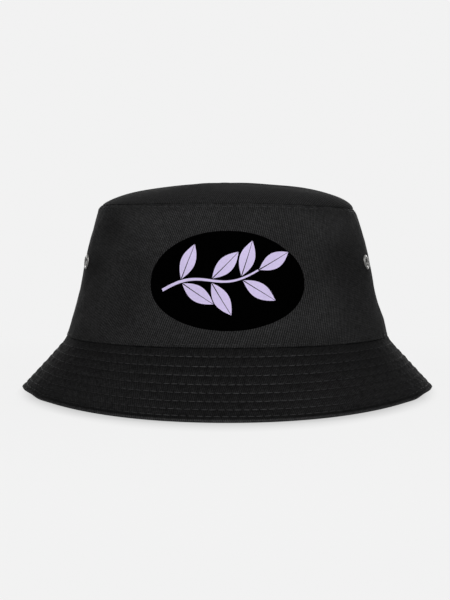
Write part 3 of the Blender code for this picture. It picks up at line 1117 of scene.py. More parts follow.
def seam_roll(half: Half, bearing: Array, radius: float) -> Array:
    """How deep a half's cloth rolls in towards its side seams.

    Args:
        half: The half of the hat.
        bearing: Bearings of the half.
        radius: The radius that turns bearings into distances.

    Returns:
        Depths in metres.
    """
    turn = (bearing - half.start) * radius
    reach = np.minimum(turn, math.pi * radius - turn)
    return SEAM_ROLL_DEPTH * (1.0 - smooth_step(reach / SEAM_ROLL_REACH))


def arc(centre: tuple[float, float], radius: float, start: float, stop: float, count: int) -> Array:
    """Points of an arc in a cross-section, one to a row, from one angle to another in degrees."""
    turn = np.radians(np.linspace(start, stop, count))
    return np.stack([centre[0] + radius * np.cos(turn), centre[1] + radius * np.sin(turn)], axis=-1)


def length_along(points: Array) -> Array:
    """The distance along each row of a grid, from its first point."""
    steps = np.linalg.norm(np.diff(points, axis=1), axis=-1)
    return np.concatenate([np.zeros((len(points), 1)), np.cumsum(steps, axis=1)], axis=1)


@dataclass
class Crown:
    """The crown: two wall panels and the domed top, with the tapes that cover their raw edges inside."""

    form: HatForm
    twill: Material
    tape: Material
    cloth: float = 0.0007
    fold: float = 0.0006
    top_fold: float = 0.0003
    seam_gap: float = 0.0002
    painted_light_span: float = 0.002
    light_ramp: float = 0.5
    light_ramp_from: float = 0.55
    light_ramp_over: float = 0.3
    seam_shade: float = 0.4
    seam_shade_reach: float = 0.007
    top_start: float = 0.03
    top_end: float = 0.985
    top_ease: float = 1.5
    tape_thickness: float = 0.0004
    tape_width: float = 0.012
    binding_gap: float = 0.001
    binding_over: float = 0.0004
    binding_depth: float = 0.0005
    side_tape_end: float = 0.009
    side_tape_depth: float = 0.0012
    bearings: int = 250
    stations: int = 84
    top_bearings: int = 288
    top_stations: int = 46
    binding_bearings: int = 300

    def wall_panel(self, half: Half) -> Piece:
        """One wall panel, its cut edges folded in at the brim seam and at the top seam.

        Args:
            half: Which half of the wall.

        Returns:
            The panel.
        """
        form = self.form
        height = form.crown_height
        bearing = panel_bearings(half, self.bearings, self.seam_gap, form.mean_radius)
        foot = arc((self.fold, self.fold), self.fold, 0.0, -180.0, 9)
        head = arc((self.top_fold, height - self.top_fold), self.top_fold, 180.0, 90.0, 6)
        face = np.linspace(foot[-1][1], head[0][1], self.stations)[1:-1]
        depth = np.concatenate([foot[:, 0], np.zeros(len(face)), head[:, 0], [form.flange_depth]])
        rise = np.concatenate([foot[:, 1], face, head[:, 1], [height]])
        depth = depth[None] + seam_roll(half, bearing, form.mean_radius)
        points = form.wall(bearing, rise[None], depth)
        flat = pairs(bearing * form.mean_radius, rise[None])
        # Painted light: a painted highlight where the cloth stands out, painted light on the upper front and
        # back of the wall, and painted shade just below the top seam.
        upper = smooth_step((rise[None] / height - self.light_ramp_from) / self.light_ramp_over)
        painted_lighting = self.light_ramp * np.sin(bearing) ** 4 * upper
        open_cloth = smooth_step((height - rise[None]) / self.seam_shade_reach)
        relief = EVEN + form.drape(bearing, rise[None]) / self.painted_light_span
        relief = relief + painted_lighting * open_cloth - self.seam_shade * (1.0 - open_cloth)
        grid = ClothGrid(points, flat, np.clip(relief, 0.0, 1.0))
        mesh = shell(f"crown_{half.value}_panel", grid, grid.offset(-self.cloth))
        return make_piece(f"crown_{half.value}_cloth", mesh, self.twill)

    def top_panel(self) -> Piece:
        """The domed top, its rim tucked into the top seam.

        Returns:
            The panel.
        """
        form = self.form
        bearing = np.linspace(0.0, TAU, self.top_bearings, endpoint=False)[:, None]
        share = np.linspace(self.top_start, self.top_end, self.top_stations)
        share = 1.0 - (1.0 - share) ** self.top_ease
        dome = form.dome(bearing, share[None])
        low = form.crown_height + self.seam_gap / 2
        bend = self.seam_gap
        tuck = arc((self.top_fold + bend, low + bend), bend, 180.0, 270.0, 4)
        tuck = np.concatenate([tuck, [[form.flange_depth, low]]])
        rim = form.wall(bearing, tuck[None, :, 1], tuck[None, :, 0])
        points = np.concatenate([dome, rim], axis=1)
        # The whole top takes the lowest level of painted light, painted shade that draws it darker than the
        # wall.
        relief = np.zeros(points.shape[:2])
        spread = length_along(points) + np.linalg.norm(points[:, :1, :2], axis=-1)
        flat = spread[..., None] * points[..., :2] / np.linalg.norm(points[..., :2], axis=-1, keepdims=True)
        grid = ClothGrid(points, flat, relief)
        mesh = shell("crown_top_panel", grid, grid.offset(self.cloth), closed=True, pole=True)
        return make_piece("crown_top_cloth", mesh, self.twill)

    def strip(self, name: str, bearing: Array, rise: Array, depth: float) -> Piece:
        """A strip of tape on the inside of the wall.

        Args:
            name: The piece's name.
            bearing: Bearings along the strip, in a column.
            rise: Heights across it.
            depth: The depth of its outer face.

        Returns:
            The strip.
        """
        form = self.form
        points = form.wall(bearing, rise[None], depth + self.tape_thickness)
        grid = ClothGrid.even(points, pairs(bearing * form.mean_radius, rise[None]))
        mesh = shell(name, grid, form.wall(bearing, rise[None], depth))
        return make_piece(name, mesh, self.tape)

    def build(self) -> Pieces:
        """Every piece of the crown.

        Returns:
            The pieces by name.
        """
        form = self.form
        made = {"top": self.top_panel()}
        for half in Half:
            made[half.value] = self.wall_panel(half)
        top = form.crown_height
        gap = self.binding_gap
        round_hat = np.linspace(BACK + gap, BACK + TAU - gap, self.binding_bearings)[:, None]
        rise = np.linspace(top - self.tape_width, top + self.binding_over, 9)
        depth = form.flange_depth + self.binding_depth
        made["binding"] = self.strip("top_seam_tape", round_hat, rise, depth)
        reach = self.tape_width / 2 / form.half_depth
        rise = np.linspace(self.side_tape_end, top - self.side_tape_end, 50)
        depth = self.cloth + self.side_tape_depth
        for side, seam in (("right", 0.0), ("left", math.pi)):
            bearing = np.linspace(seam - reach, seam + reach, 11)[:, None]
            made[f"tape_{side}"] = self.strip(f"side_tape_{side}", bearing, rise, depth)
        return made

    def dress(self, made: Pieces) -> None:
        """Attaches the crown's pieces and says what they were cut from.

        Args:
            made: The pieces by name.
        """
        attach(made["top"], Body.HAT, Slot.CROWN, "crown_top_panel")
        for half in Half:
            panel = made[half.value]
            attach(panel, Body.HAT, Slot.CROWN, f"crown_{half.value}_panel")
        attach(made["binding"], Body.HAT, Slot.TAPE, "top_seam_binding")
        for side in ("right", "left"):
            tape = made[f"tape_{side}"]
            attach(tape, Body.HAT, Slot.TAPE, f"side_seam_tape_{side}")


@dataclass
class Brim:
    """The brim: upper cloth folded round the edge, under cloth, and the stiffener between them."""

    form: HatForm
    twill: Material
    felt: Material
    cloth: float = 0.0006
    under_cloth: float = 0.0005
    edge_turn: float = 0.0032
    root_gap: float = 0.0006
    upper_flange: tuple[float, ...] = (0.006, 0.004, 0.002)
    under_flange: tuple[float, ...] = (0.007, 0.005, 0.003, 0.0012)
    under_flange_depth: float = 0.0012
    under_start: float = 0.003
    under_ease: float = 0.004
    under_least_light: float = 0.25
    under_puff_light: float = 0.5
    flange_painted_light: float = 0.4
    lit_edge_from: float = 0.0013
    lit_edge_ease: float = 0.0008
    quarter_light: float = 0.5
    crease_from_row: float = 0.0013
    crease_spread: float = 0.0006
    crease_side: float = 0.45
    felt_gap: float = 0.004
    felt_start: float = 0.006
    felt_margin: float = 0.0012
    felt_half: float = 0.00006
    bearings: int = 310
    under_bearings: int = 240
    felt_bearings: int = 160

    @property
    def radius(self) -> float:
        """The radius at which the brim's cloth is measured round."""
        return self.form.half_depth + self.form.brim_width / 2

    def along(self, last: float, each: int) -> Array:
        """Distances along the brim, with a point in each row of stitching and closer points beside it.

        Args:
            last: The last distance.
            each: The number of points from one row to the next.

        Returns:
            Distances, going out.
        """
        marks = [self.root_gap, *self.form.rows, last]
        ease = (1.0 - np.cos(np.linspace(0.0, math.pi, each + 1))) / 2
        steps = (ease + np.linspace(0.0, 1.0, each + 1)) / 2
        runs = [low + (high - low) * steps[:-1] for low, high in zip(marks, marks[1:])]
        return np.concatenate([*runs, [last]])

    def edge_crease_shade(self, bearing: Array, along: Array) -> Array:
        """How much painted shade falls in the crease inside the turned edge, most at the sides.

        Args:
            bearing: Bearings round the hat, as a column.
            along: Distances along the brim.

        Returns:
            Shares from 0 to 1, one to a bearing and a distance.
        """
        from_crease = along - self.form.rows[-1] - self.crease_from_row
        beside = smooth_step(np.abs(np.cos(bearing)) / self.crease_side)
        return beside * bell(from_crease, self.crease_spread)[None]

    def painted_lighting(self, bearing: Array, along: Array) -> Array:
        """The painted light of the upper face: painted light above each row and at the quarters, a painted
        highlight at the edge, and painted shade in the crease at the sides.

        Args:
            bearing: Bearings round the hat, as a column.
            along: Distances along the brim.

        Returns:
            Reliefs, one to a bearing and a distance.
        """
        form = self.form
        lit_edge = smooth_step((along - form.edge + self.lit_edge_from) / self.lit_edge_ease)[None] * np.sin(bearing) ** 4
        lit_quarters = self.quarter_light * np.sin(2.0 * bearing) ** 2 * smooth_step(along / form.edge)[None]
        relief = np.minimum(form.light_ramp(along)[None] + lit_quarters, 1.0) + lit_edge
        return relief + (PAINTED_CREASE_SHADE - relief) * self.edge_crease_shade(bearing, along)

    def upper(self, half: Half) -> Piece:
        """The upper cloth of one half, from its flange inside the crown, round the edge and under it.

        Args:
            half: Which half of the brim.

        Returns:
            The cloth.
        """
        form = self.form
        bearing = panel_bearings(half, self.bearings, 0.0, self.radius)
        roll = seam_roll(half, bearing, self.radius)
        half_thick = form.edge_thickness / 2
        edge = form.edge
        along = self.along(edge, 9)
        flange = form.wall(bearing, np.array(self.upper_flange)[None], form.flange_depth)
        face = form.brim(bearing, along[None], form.quilt(bearing, along[None], form.upper_seed) + roll)
        turn = arc((edge, half_thick), half_thick, -90.0, 90.0, 11)[1:]
        sink = roll * np.cos(math.pi * turn[None, :, 1] / form.edge_thickness)
        wrap = form.brim(bearing, turn[None, :, 0], turn[None, :, 1] + sink)
        back = np.linspace(edge, edge - self.edge_turn, 7)[1:]
        lower = form.thickness(back)[None] - form.quilt(bearing, back[None], form.under_seed)
        under = form.brim(bearing, back[None], lower - roll)
        points = np.concatenate([flange, face, wrap, under], axis=1)
        start = len(self.upper_flange)
        # Painted light: a low level on the flange, painted light and shade on the face, and a painted
        # highlight on the turned edge.
        relief = np.full(points.shape[:2], self.flange_painted_light)
        relief[:, start : start + len(along)] = self.painted_lighting(bearing, along)
        relief[:, start + len(along) : -len(back)] = PAINTED_EDGE_LIGHT
        grid = ClothGrid(points, pairs(bearing * self.radius, length_along(points)), relief)
        mesh = shell(f"brim_{half.value}_cloth", grid, grid.offset(self.cloth))
        return make_piece(f"brim_{half.value}_cloth", mesh, self.twill)

    def under(self, half: Half) -> Piece:
        """The under cloth of one half, from its flange to the turned edge.

        Args:
            half: Which half of the brim.

        Returns:
            The cloth.
        """
        form = self.form
        bearing = panel_bearings(half, self.under_bearings, 0.0, self.radius)
        roll = seam_roll(half, bearing, self.radius)
        end = form.edge - self.edge_turn
        along = self.along(end, 7)
        along = along[(along > self.under_start) & (along < end)]
        along = np.concatenate([[self.root_gap], along, [end]])
        flange_rise = np.array(self.under_flange)
        flange = form.wall(bearing, flange_rise[None], form.flange_depth + self.under_flange_depth)
        drawn = form.quilt(bearing, along[None], form.under_seed)
        lower = form.thickness(along) - drawn * smooth_step(along / self.under_ease)
        face = form.brim(bearing, along[None], lower - roll)
        points = np.concatenate([flange, face], axis=1)
        relief = np.full(points.shape[:2], EVEN)
        # Painted light on the under cloth: a painted highlight on its puffs.
        relief[:, len(flange_rise) :] = self.under_least_light + self.under_puff_light * form.puff(along)[None]
        grid = ClothGrid(points, pairs(bearing * self.radius, length_along(points)), relief)
        mesh = shell(f"brim_{half.value}_under", grid, grid.offset(-self.under_cloth))
        return make_piece(f"brim_{half.value}_under_cloth", mesh, self.twill)

    def stiffener(self, half: Half) -> Piece:
        """The interlining of one half, between the two cloths.

        Args:
            half: Which half of the brim.

        Returns:
            The interlining.
        """
        form = self.form
        bearing = panel_bearings(half, self.felt_bearings, self.felt_gap, form.half_depth)
        along = np.linspace(self.felt_start, form.rows[-1] - self.felt_margin, 20)[None]
        middle = form.thickness(along) / 2
        upper, lower = (form.brim(bearing, along, middle + side * self.felt_half) for side in (-1.0, 1.0))
        grid = ClothGrid.even(upper, pairs(bearing * form.half_depth, along))
        mesh = shell(f"brim_{half.value}_stiffener", grid, lower)
        return make_piece(f"brim_{half.value}_stiffener", mesh, self.felt)

    def build(self) -> Pieces:
        """Every layer of the brim.

        Returns:
            The pieces by name.
        """
        made = {}
        for half in Half:
            made[f"upper_{half.value}"] = self.upper(half)
            made[f"under_{half.value}"] = self.under(half)
            made[f"stiffener_{half.value}"] = self.stiffener(half)
        return made

    def dress(self, made: Pieces) -> None:
        """Attaches the brim's pieces and says what they were cut from.

        Args:
            made: The pieces by name.
        """
        for half in Half:
            upper, under, felt = (made[f"{layer}_{half.value}"] for layer in ("upper", "under", "stiffener"))
            attach(upper, Body.HAT, Slot.BRIM, f"brim_upper_{half.value}")
            attach(under, Body.HAT, Slot.BRIM, f"brim_under_{half.value}")
            attach(felt, Body.HAT, Slot.INTERLINING, f"brim_interlining_{half.value}")


@dataclass
class Sweatband:
    """The strip inside the crown that covers the brim seam, its ends meeting at the back."""

    form: HatForm
    cotton: Material
    low: float = 0.0010
    high: float = 0.0300
    sewn: float = 0.0024
    thickness: float = 0.0008
    depth: float = 0.0037
    slack: Ripple = Ripple(29, around=24.0, along=30.0, size=0.00014)
    sewn_draw: float = 0.0003
    sewn_width: float = 0.0009
    end_gap: float = 0.0008
    hem: tuple[float, ...] = (0.0, 0.0004)
    hem_end: float = 0.001
    bearings: int = 340
    stations: int = 26

    def face(self, bearing: Array, rise: Array) -> Array:
        """How deep the band's inner face lies behind the wall's outer face."""
        drawn = self.sewn_draw * bell(rise - self.sewn, self.sewn_width)
        return self.depth + self.thickness - self.slack.at(bearing, rise) - drawn

    def build(self) -> Piece:
        """The band.

        Returns:
            The piece.
        """
        form = self.form
        bearing = np.linspace(BACK + self.end_gap, BACK + TAU - self.end_gap, self.bearings)[:, None]
        open_cloth = np.linspace(self.low + self.hem_end, self.high, self.stations)
        rise = np.concatenate([self.low + np.array(self.hem), open_cloth])[None]
        points = form.wall(bearing, rise, self.face(bearing, rise))
        grid = ClothGrid.even(points, pairs(bearing * form.half_depth, rise))
        mesh = shell("sweatband", grid, form.wall(bearing, rise, self.depth))
        return make_piece("sweatband_cotton", mesh, self.cotton)

    def dress(self, band: Piece) -> None:
        """Attaches the band and says what it was cut from."""
        attach(band, Body.HAT, Slot.BAND, "sweatband")


@dataclass
class StitchTree:
    """Geometry Nodes that lay stitches end to end along the lines of a mesh.

    The line mesh carries a vector attribute, facing, that points out of the cloth.
    """

    thread: Material
    sides: int = 6
    tree: bpy.types.GeometryNodeTree = field(init=False)
    sockets: dict[str, str] = field(init=False, default_factory=dict)

    def __post_init__(self) -> None:
        """Builds the tree."""
        self.tree = bpy.data.node_groups.new("stitches along lines", "GeometryNodeTree")
        face = self.tree.interface
        face.new_socket("Lines", in_out="INPUT", socket_type="NodeSocketGeometry")
        sizes = {
            "Pitch": 0.0038,
            "Stitch Length": 0.0032,
            "Thread Width": 0.00045,
            "Thread Height": 0.0004,
            "Wander": 0.05,
        }
        for name, value in sizes.items():
            socket = face.new_socket(name, in_out="INPUT", socket_type="NodeSocketFloat")
            socket.default_value = value
            self.sockets[name] = socket.identifier
        seed = face.new_socket("Seed", in_out="INPUT", socket_type="NodeSocketInt")
        self.sockets["Seed"] = seed.identifier
        face.new_socket("Stitches", in_out="OUTPUT", socket_type="NodeSocketGeometry")
        self.wire()

    def wire(self) -> None:
        """Adds the nodes and their links."""
        nodes = Nodes(self.tree)
        given = nodes.add("NodeGroupInput").outputs
        curve = nodes.add("GeometryNodeMeshToCurve", {"Mesh": given["Lines"]}).outputs["Curve"]
        steps = {"Curve": curve, "Length": given["Pitch"]}
        spaced = nodes.add("GeometryNodeResampleCurve", steps, mode="LENGTH").outputs["Curve"]
        ball = {"Segments": self.sides, "Rings": self.sides, "Radius": 0.5}
        grain = nodes.add("GeometryNodeMeshUVSphere", ball).outputs["Mesh"]
        sizes = {"X": given["Stitch Length"], "Y": given["Thread Width"], "Z": given["Thread Height"]}
        size = nodes.add("ShaderNodeCombineXYZ", sizes).outputs["Vector"]
        stitch = nodes.add("GeometryNodeTransform", {"Geometry": grain, "Scale": size}).outputs["Geometry"]
        places = {"Points": spaced, "Instance": stitch, "Rotation": self.turn(nodes, given)}
        laid = nodes.add("GeometryNodeInstanceOnPoints", places).outputs["Instances"]
        real = nodes.add("GeometryNodeRealizeInstances", {"Geometry": laid}).outputs["Geometry"]
        smooth = nodes.add("GeometryNodeSetShadeSmooth", {"Geometry": real}).outputs["Geometry"]
        dyed = nodes.add("GeometryNodeSetMaterial", {"Geometry": smooth, "Material": self.thread})
        nodes.add("NodeGroupOutput", {"Stitches": dyed.outputs["Geometry"]})

    def turn(self, nodes: Nodes, given: bpy.types.bpy_prop_collection) -> Socket:
        """The turn of each stitch: along its line, its face out of the cloth, and a little astray.

        Args:
            nodes: The tree's nodes.
            given: The sockets of what the tree is given.

        Returns:
            The turns.
        """
        align = "FunctionNodeAlignRotationToVector"
        tangent = nodes.add("GeometryNodeInputTangent").outputs["Tangent"]
        heading = nodes.add(align, {"Vector": tangent}, axis="X").outputs["Rotation"]
        facing = nodes.add("GeometryNodeInputNamedAttribute", {"Name": "facing"}, data_type="FLOAT_VECTOR")
        outward = {"Rotation": heading, "Vector": facing.outputs["Attribute"]}
        upright = nodes.add(align, outward, axis="Z", pivot_axis="X").outputs["Rotation"]
        wander = nodes.add("FunctionNodeRandomValue", {"Seed": given["Seed"]}, data_type="FLOAT")
        # A Random Value node has sockets for each kind of value. These are the ends of a range of numbers.
        nodes.feed(wander.inputs[2], nodes.product(given["Wander"], -1.0))
        nodes.feed(wander.inputs[3], given["Wander"])
        yaw = nodes.add("ShaderNodeCombineXYZ", {"Z": wander.outputs[1]}).outputs["Vector"]
        astray = nodes.add("FunctionNodeEulerToRotation", {"Euler": yaw}).outputs["Rotation"]
        both = {"Rotation": upright, "Rotate By": astray}
        return nodes.add("FunctionNodeRotateRotation", both, rotation_space="LOCAL").outputs["Rotation"]

    def sew(self, name: str, lines: Mesh, seed: int, **sizes: float) -> Piece:
        """Stitches along the lines of a mesh, as a plain mesh.

        Args:
            name: The piece's name.
            lines: The lines, with their facing.
            seed: The seed of the stitches' wander.
            sizes: Values for the tree's inputs, named with underscores for spaces.

        Returns:
            The piece.
        """
        guide = bpy.data.objects.new(f"{name}_lines", lines)
        bpy.context.collection.objects.link(guide)
        laid = guide.modifiers.new("stitches", "NODES")
        laid.node_group = self.tree
        laid[self.sockets["Seed"]] = seed
        for key, value in sizes.items():
            laid[self.sockets[key.replace("_", " ")]] = value
        depsgraph = bpy.context.evaluated_depsgraph_get()
        mesh = bpy.data.meshes.new_from_object(guide.evaluated_get(depsgraph), depsgraph=depsgraph)
        guide.modifiers.remove(laid)
        bpy.data.objects.remove(guide)
        mesh.name = name
        return make_piece(name, mesh, self.thread)


def stitch_lines(name: str, surfaces: Sequence[LineRule]) -> Mesh:
    """Closed lines round the hat for stitches to lie on.

    Args:
        name: The mesh's name.
        surfaces: For each line, the function that gives points from bearings and a small step sideways.

    Returns:
        A mesh of lines whose facing attribute points out of the cloth.
    """
    bearing = np.linspace(0.0, TAU, LINE_POINTS, endpoint=False)
    points = []
    facing = []
    edges = []
    for surface in surfaces:
        line = surface(bearing, 0.0)
        forward = np.roll(line, -1, axis=0) - np.roll(line, 1, axis=0)
        sideways = surface(bearing, LINE_STEP) - surface(bearing, -LINE_STEP)
        out = np.cross(forward, sideways)
        start = len(points) * len(bearing)
        points.append(line)
        facing.append(out / np.linalg.norm(out, axis=-1, keepdims=True))
        edges += [(start + index, start + (index + 1) % len(bearing)) for index in range(len(bearing))]
    mesh = bpy.data.meshes.new(name)
    mesh.from_pydata(np.concatenate(points).tolist(), edges, [])
    layer = mesh.attributes.new("facing", "FLOAT_VECTOR", "POINT")
    layer.data.foreach_set("vector", np.concatenate(facing).astype(np.float32).ravel())
    return mesh


@dataclass
class Stitching:
    """Every row of sewing that shows: on both faces of the brim, on the crown wall and inside the band."""

    form: HatForm
    band: Sweatband
    tree: StitchTree
    proud: float = 0.00012
    brim_pitch: float = 0.0047
    pitch_growth: float = 0.00003
    brim_stitch: float = 0.0045
    base_pitch: float = 0.0044
    top_pitch: float = 0.0040
    fine_thread: float = 0.00034
    brim_seed: int = 100
    base_seed: int = 201
    top_seed: int = 202
    band_seed: int = 203

    def brim_row(self, index: int) -> Piece:
        """One row of the brim, on its upper and its under face.

        Args:
            index: The row's number, from 0 at the crown.

        Returns:
            The piece.
        """
        form = self.form
        row = form.rows[index]

        def upper(bearing: Array, step: float) -> Array:
            """Points on the upper face, counted so that their facing is up."""
            drawn = form.quilt(bearing, np.full(bearing.shape, row), form.upper_seed)
            return form.brim(bearing, row - step, drawn - self.proud)

        def under(bearing: Array, step: float) -> Array:
            """Points on the under face, counted so that their facing is down."""
            drawn = form.quilt(bearing, np.full(bearing.shape, row), form.under_seed)
            return form.brim(bearing, row + step, form.thickness(row) - drawn + self.proud)

        lines = stitch_lines(f"brim_row_{index + 1}", [upper, under])
        sizes = {"Pitch": self.brim_pitch + self.pitch_growth * index, "Stitch_Length": self.brim_stitch}
        return self.tree.sew(f"brim_sewn_row_{index + 1}", lines, self.brim_seed + index, **sizes)

    def outside(self, bearing: Array, rise: Array) -> Array:
        """Depths of a row on the wall's outer face."""
        return np.full(bearing.shape, -self.proud)

    def inside(self, bearing: Array, rise: Array) -> Array:
        """Depths of a row on the band's inner face."""
        return self.band.face(bearing, rise) + self.proud

    def wall_row(self, name: str, rise: float, depth: DepthRule, pitch: float, seed: int) -> Piece:
        """One row on the crown wall or on the band.

        Args:
            name: The piece's name.
            rise: Its height above the brim seam.
            depth: The depths behind the wall's outer face at bearings and heights.
            pitch: The distance from one stitch to the next.
            seed: The seed of its wander.

        Returns:
            The piece.
        """
        form = self.form

        def line(bearing: Array, step: float) -> Array:
            """Points of the row, with the step upwards."""
            height = np.full(bearing.shape, rise + step)
            return form.wall(bearing, height, depth(bearing, height))

        lines = stitch_lines(name, [line])
        return self.tree.sew(name, lines, seed, Pitch=pitch, Thread_Width=self.fine_thread)

    def build(self) -> Pieces:
        """Every row.

        Returns:
            The rows by the name of the solid that they stand for.
        """
        form = self.form
        made = {f"brim_stitch_row_{index + 1}": self.brim_row(index) for index in range(len(form.rows))}
        made["crown_base_topstitch"] = self.wall_row(
            "crown_base_sewing", form.base_stitch, self.outside, self.base_pitch, self.base_seed
        )
        top = form.crown_height - form.top_stitch
        made["crown_top_topstitch"] = self.wall_row(
            "crown_top_sewing", top, self.outside, self.top_pitch, self.top_seed
        )
        made["sweatband_stitch"] = self.wall_row(
            "sweatband_sewing", self.band.sewn, self.inside, self.base_pitch, self.band_seed
        )
        return made

    def dress(self, made: Pieces) -> None:
        """Attaches every row."""
        for node, row in made.items():
            attach(row, Body.HAT, Slot.THREAD, node)


@dataclass
class Eyelets:
    """Four vent eyelets with their washers, set through the wall panels."""

    form: HatForm
    nickel: Material
    flange: float = 0.0046
    flange_base: float = 0.0001
    flange_rim: float = 0.0002
    bore: float = 0.0025
    wall: float = 0.0004
    crown: float = 0.0009
    crown_power: float = 0.8
    barrel_end: float = 0.0021
    roll_width: float = 0.0008
    roll_depth: float = 0.0007
    play: float = 0.0001
    washer_from: float = 0.0012
    washer_to: float = 0.0019
    washer_width: float = 0.0018
    chamfer: float = 0.0002
    punch_length: float = 0.012
    rise: float = 0.047
    from_seam: float = 0.027
    right_forward: float = 0.030
    probe_turn: float = 0.03
    probe_rise: float = 0.003
    sides: int = 48

    def bearings(self) -> dict[str, float]:
        """Where the eyelets are.

        Returns:
            The bearing of each eyelet by its place.
        """
        turn = self.from_seam / self.form.half_depth
        return {
            "front_right": TAU - turn - self.right_forward,
            "front_left": math.pi + turn,
            "back_right": turn,
            "back_left": math.pi - turn,
        }

    def frame(self, bearing: float) -> Matrix:
        """The place and turn of an eyelet, its axis out of the cloth.

        Args:
            bearing: Its bearing.

        Returns:
            The frame.
        """
        turn = bearing + self.probe_turn * np.array([0.0, 1.0, -1.0, 0.0, 0.0])
        sink = self.form.droop(bearing) * smooth_step(self.rise / self.form.crown_height)
        rise = self.rise + sink + self.probe_rise * np.array([0.0, 0.0, 0.0, 1.0, -1.0])
        centre, ahead, behind, above, below = self.form.wall(turn, rise)
        out = Vector(np.cross(ahead - behind, above - below)).normalized()
        return Matrix.Translation(Vector(centre)) @ out.to_track_quat("Z", "Y").to_matrix().to_4x4()

    def eyelet(self, place: str, frame: Matrix) -> Piece:
        """One eyelet: a rounded flange, a barrel through the cloth and its end rolled over the washer.

        Args:
            place: The eyelet's place.
            frame: Its frame.

        Returns:
            The piece.
        """
        barrel = self.bore + self.wall
        middle = (self.bore + self.flange) / 2
        half = (self.flange - self.bore) / 2
        base = self.flange_base
        end = self.barrel_end
        width = self.roll_width
        top = [
            (middle + half * math.cos(turn), base + self.crown * math.sin(turn) ** self.crown_power)
            for turn in np.radians(np.linspace(180.0, 0.0, 15))
        ]
        roll = [
            (self.bore + width + width * math.cos(turn), -end - self.roll_depth * math.sin(turn))
            for turn in np.radians(np.linspace(0.0, 180.0, 9))
        ]
        profile = [*top, (self.flange - self.flange_rim, -base), (barrel, -base), (barrel, -end), *roll]
        mesh = turned(f"eyelet_{place}", profile, self.sides, frame)
        return make_piece(f"vent_eyelet_{place}", mesh, self.nickel)

    def washer(self, place: str, frame: Matrix) -> Piece:
        """The washer inside the cloth.

        Args:
            place: The eyelet's place.
            frame: Its frame.

        Returns:
            The piece.
        """
        inner = self.bore + self.wall + self.play
        outer = inner + self.washer_width
        near, far = -self.washer_from, -self.washer_to
        profile = [
            (inner, near),
            (outer - self.chamfer, near),
            (outer, near - self.chamfer),
            (outer, far + self.chamfer),
            (outer - self.chamfer, far),
            (inner, far),
        ]
        mesh = turned(f"washer_{place}", profile, self.sides, frame)
        return make_piece(f"vent_washer_{place}", mesh, self.nickel)

    def pierce(self, panel: Piece, frame: Matrix) -> None:
        """Cuts the hole for an eyelet through a wall panel.

        Args:
            panel: The panel.
            frame: The eyelet's frame.
        """
        shape = bmesh.new()
        radius = self.bore + self.wall - self.play
        sizes = {"radius1": radius, "radius2": radius, "depth": self.punch_length}
        bmesh.ops.create_cone(shape, cap_ends=True, segments=self.sides, matrix=frame, **sizes)
        mesh = bpy.data.meshes.new("eyelet_punch")
        shape.to_mesh(mesh)
        shape.free()
        punch = bpy.data.objects.new("eyelet_punch", mesh)
        bpy.context.collection.objects.link(punch)
        cut = panel.modifiers.new("eyelet hole", "BOOLEAN")
        cut.operation = "DIFFERENCE"
        cut.solver = "EXACT"
        cut.object = punch
        depsgraph = bpy.context.evaluated_depsgraph_get()
        pierced = bpy.data.meshes.new_from_object(
            panel.evaluated_get(depsgraph), preserve_all_data_layers=True, depsgraph=depsgraph
        )
        panel.modifiers.remove(cut)
        panel.data = pierced
        bpy.data.objects.remove(punch)

    def build(self, panels: Pieces) -> Pieces:
        """Sets every eyelet.

        Args:
            panels: The wall panels by half.

        Returns:
            Eyelets and washers by the name of the solid that they stand for.
        """
        made = {}
        for place, bearing in self.bearings().items():
            frame = self.frame(bearing)
            self.pierce(panels[place.split("_")[0]], frame)
            made[f"eyelet_{place}"] = self.eyelet(place, frame)
            made[f"eyelet_washer_{place}"] = self.washer(place, frame)
        return made

    def dress(self, made: Pieces) -> None:
        """Attaches every eyelet and washer."""
        for node, piece in made.items():
            attach(piece, Body.HAT, Slot.NICKEL, node)


@dataclass
class CareLabel:
    """Blank satin tab that hangs inside the back from its sewn top edge."""

    satin: Material
    hinge: Place = (0.0, 0.080397, 0.067753)
    width: float = 0.030
    length: float = 0.024
    thickness: float = 0.0004
    over: float = 0.0002
    hem: tuple[float, ...] = (0.0, 0.0003, 0.0008)
    hem_end: float = 0.0016
    bow: float = 0.0011
    side_bow: float = 0.5
    curl: float = 0.0005

    def build(self) -> Piece:
        """The label, a little bowed, its lower edge heat-cut.

        Returns:
            The piece.
        """
        across = np.linspace(-self.width / 2, self.width / 2, 33)[:, None]
        drop = np.concatenate([self.hem, np.linspace(self.hem_end, self.length, 26)])[None]
        share = drop / self.length
        bow = -self.bow * share**2 * (1.0 - self.side_bow * (2 * across / self.width) ** 2)
        curl = -self.curl * np.sin(math.pi * across / self.width) * share
        x = self.hinge[0] + across
        y = self.hinge[1] + bow + curl
        z = self.hinge[2] + self.over - drop
        points = np.stack(np.broadcast_arrays(x, y, z), axis=-1)
        grid = ClothGrid.even(points, pairs(across, -drop))
        front = ClothGrid.even(grid.offset(self.thickness / 2), grid.flat)
        mesh = shell("care_label", front, grid.offset(-self.thickness / 2))
        return make_piece("care_label_satin", mesh, self.satin)

    def dress(self, label: Piece) -> None:
        """Attaches the label to its own body and says what it was cut from."""
        attach(label, Body.LABEL, Slot.LABEL, "care_label")


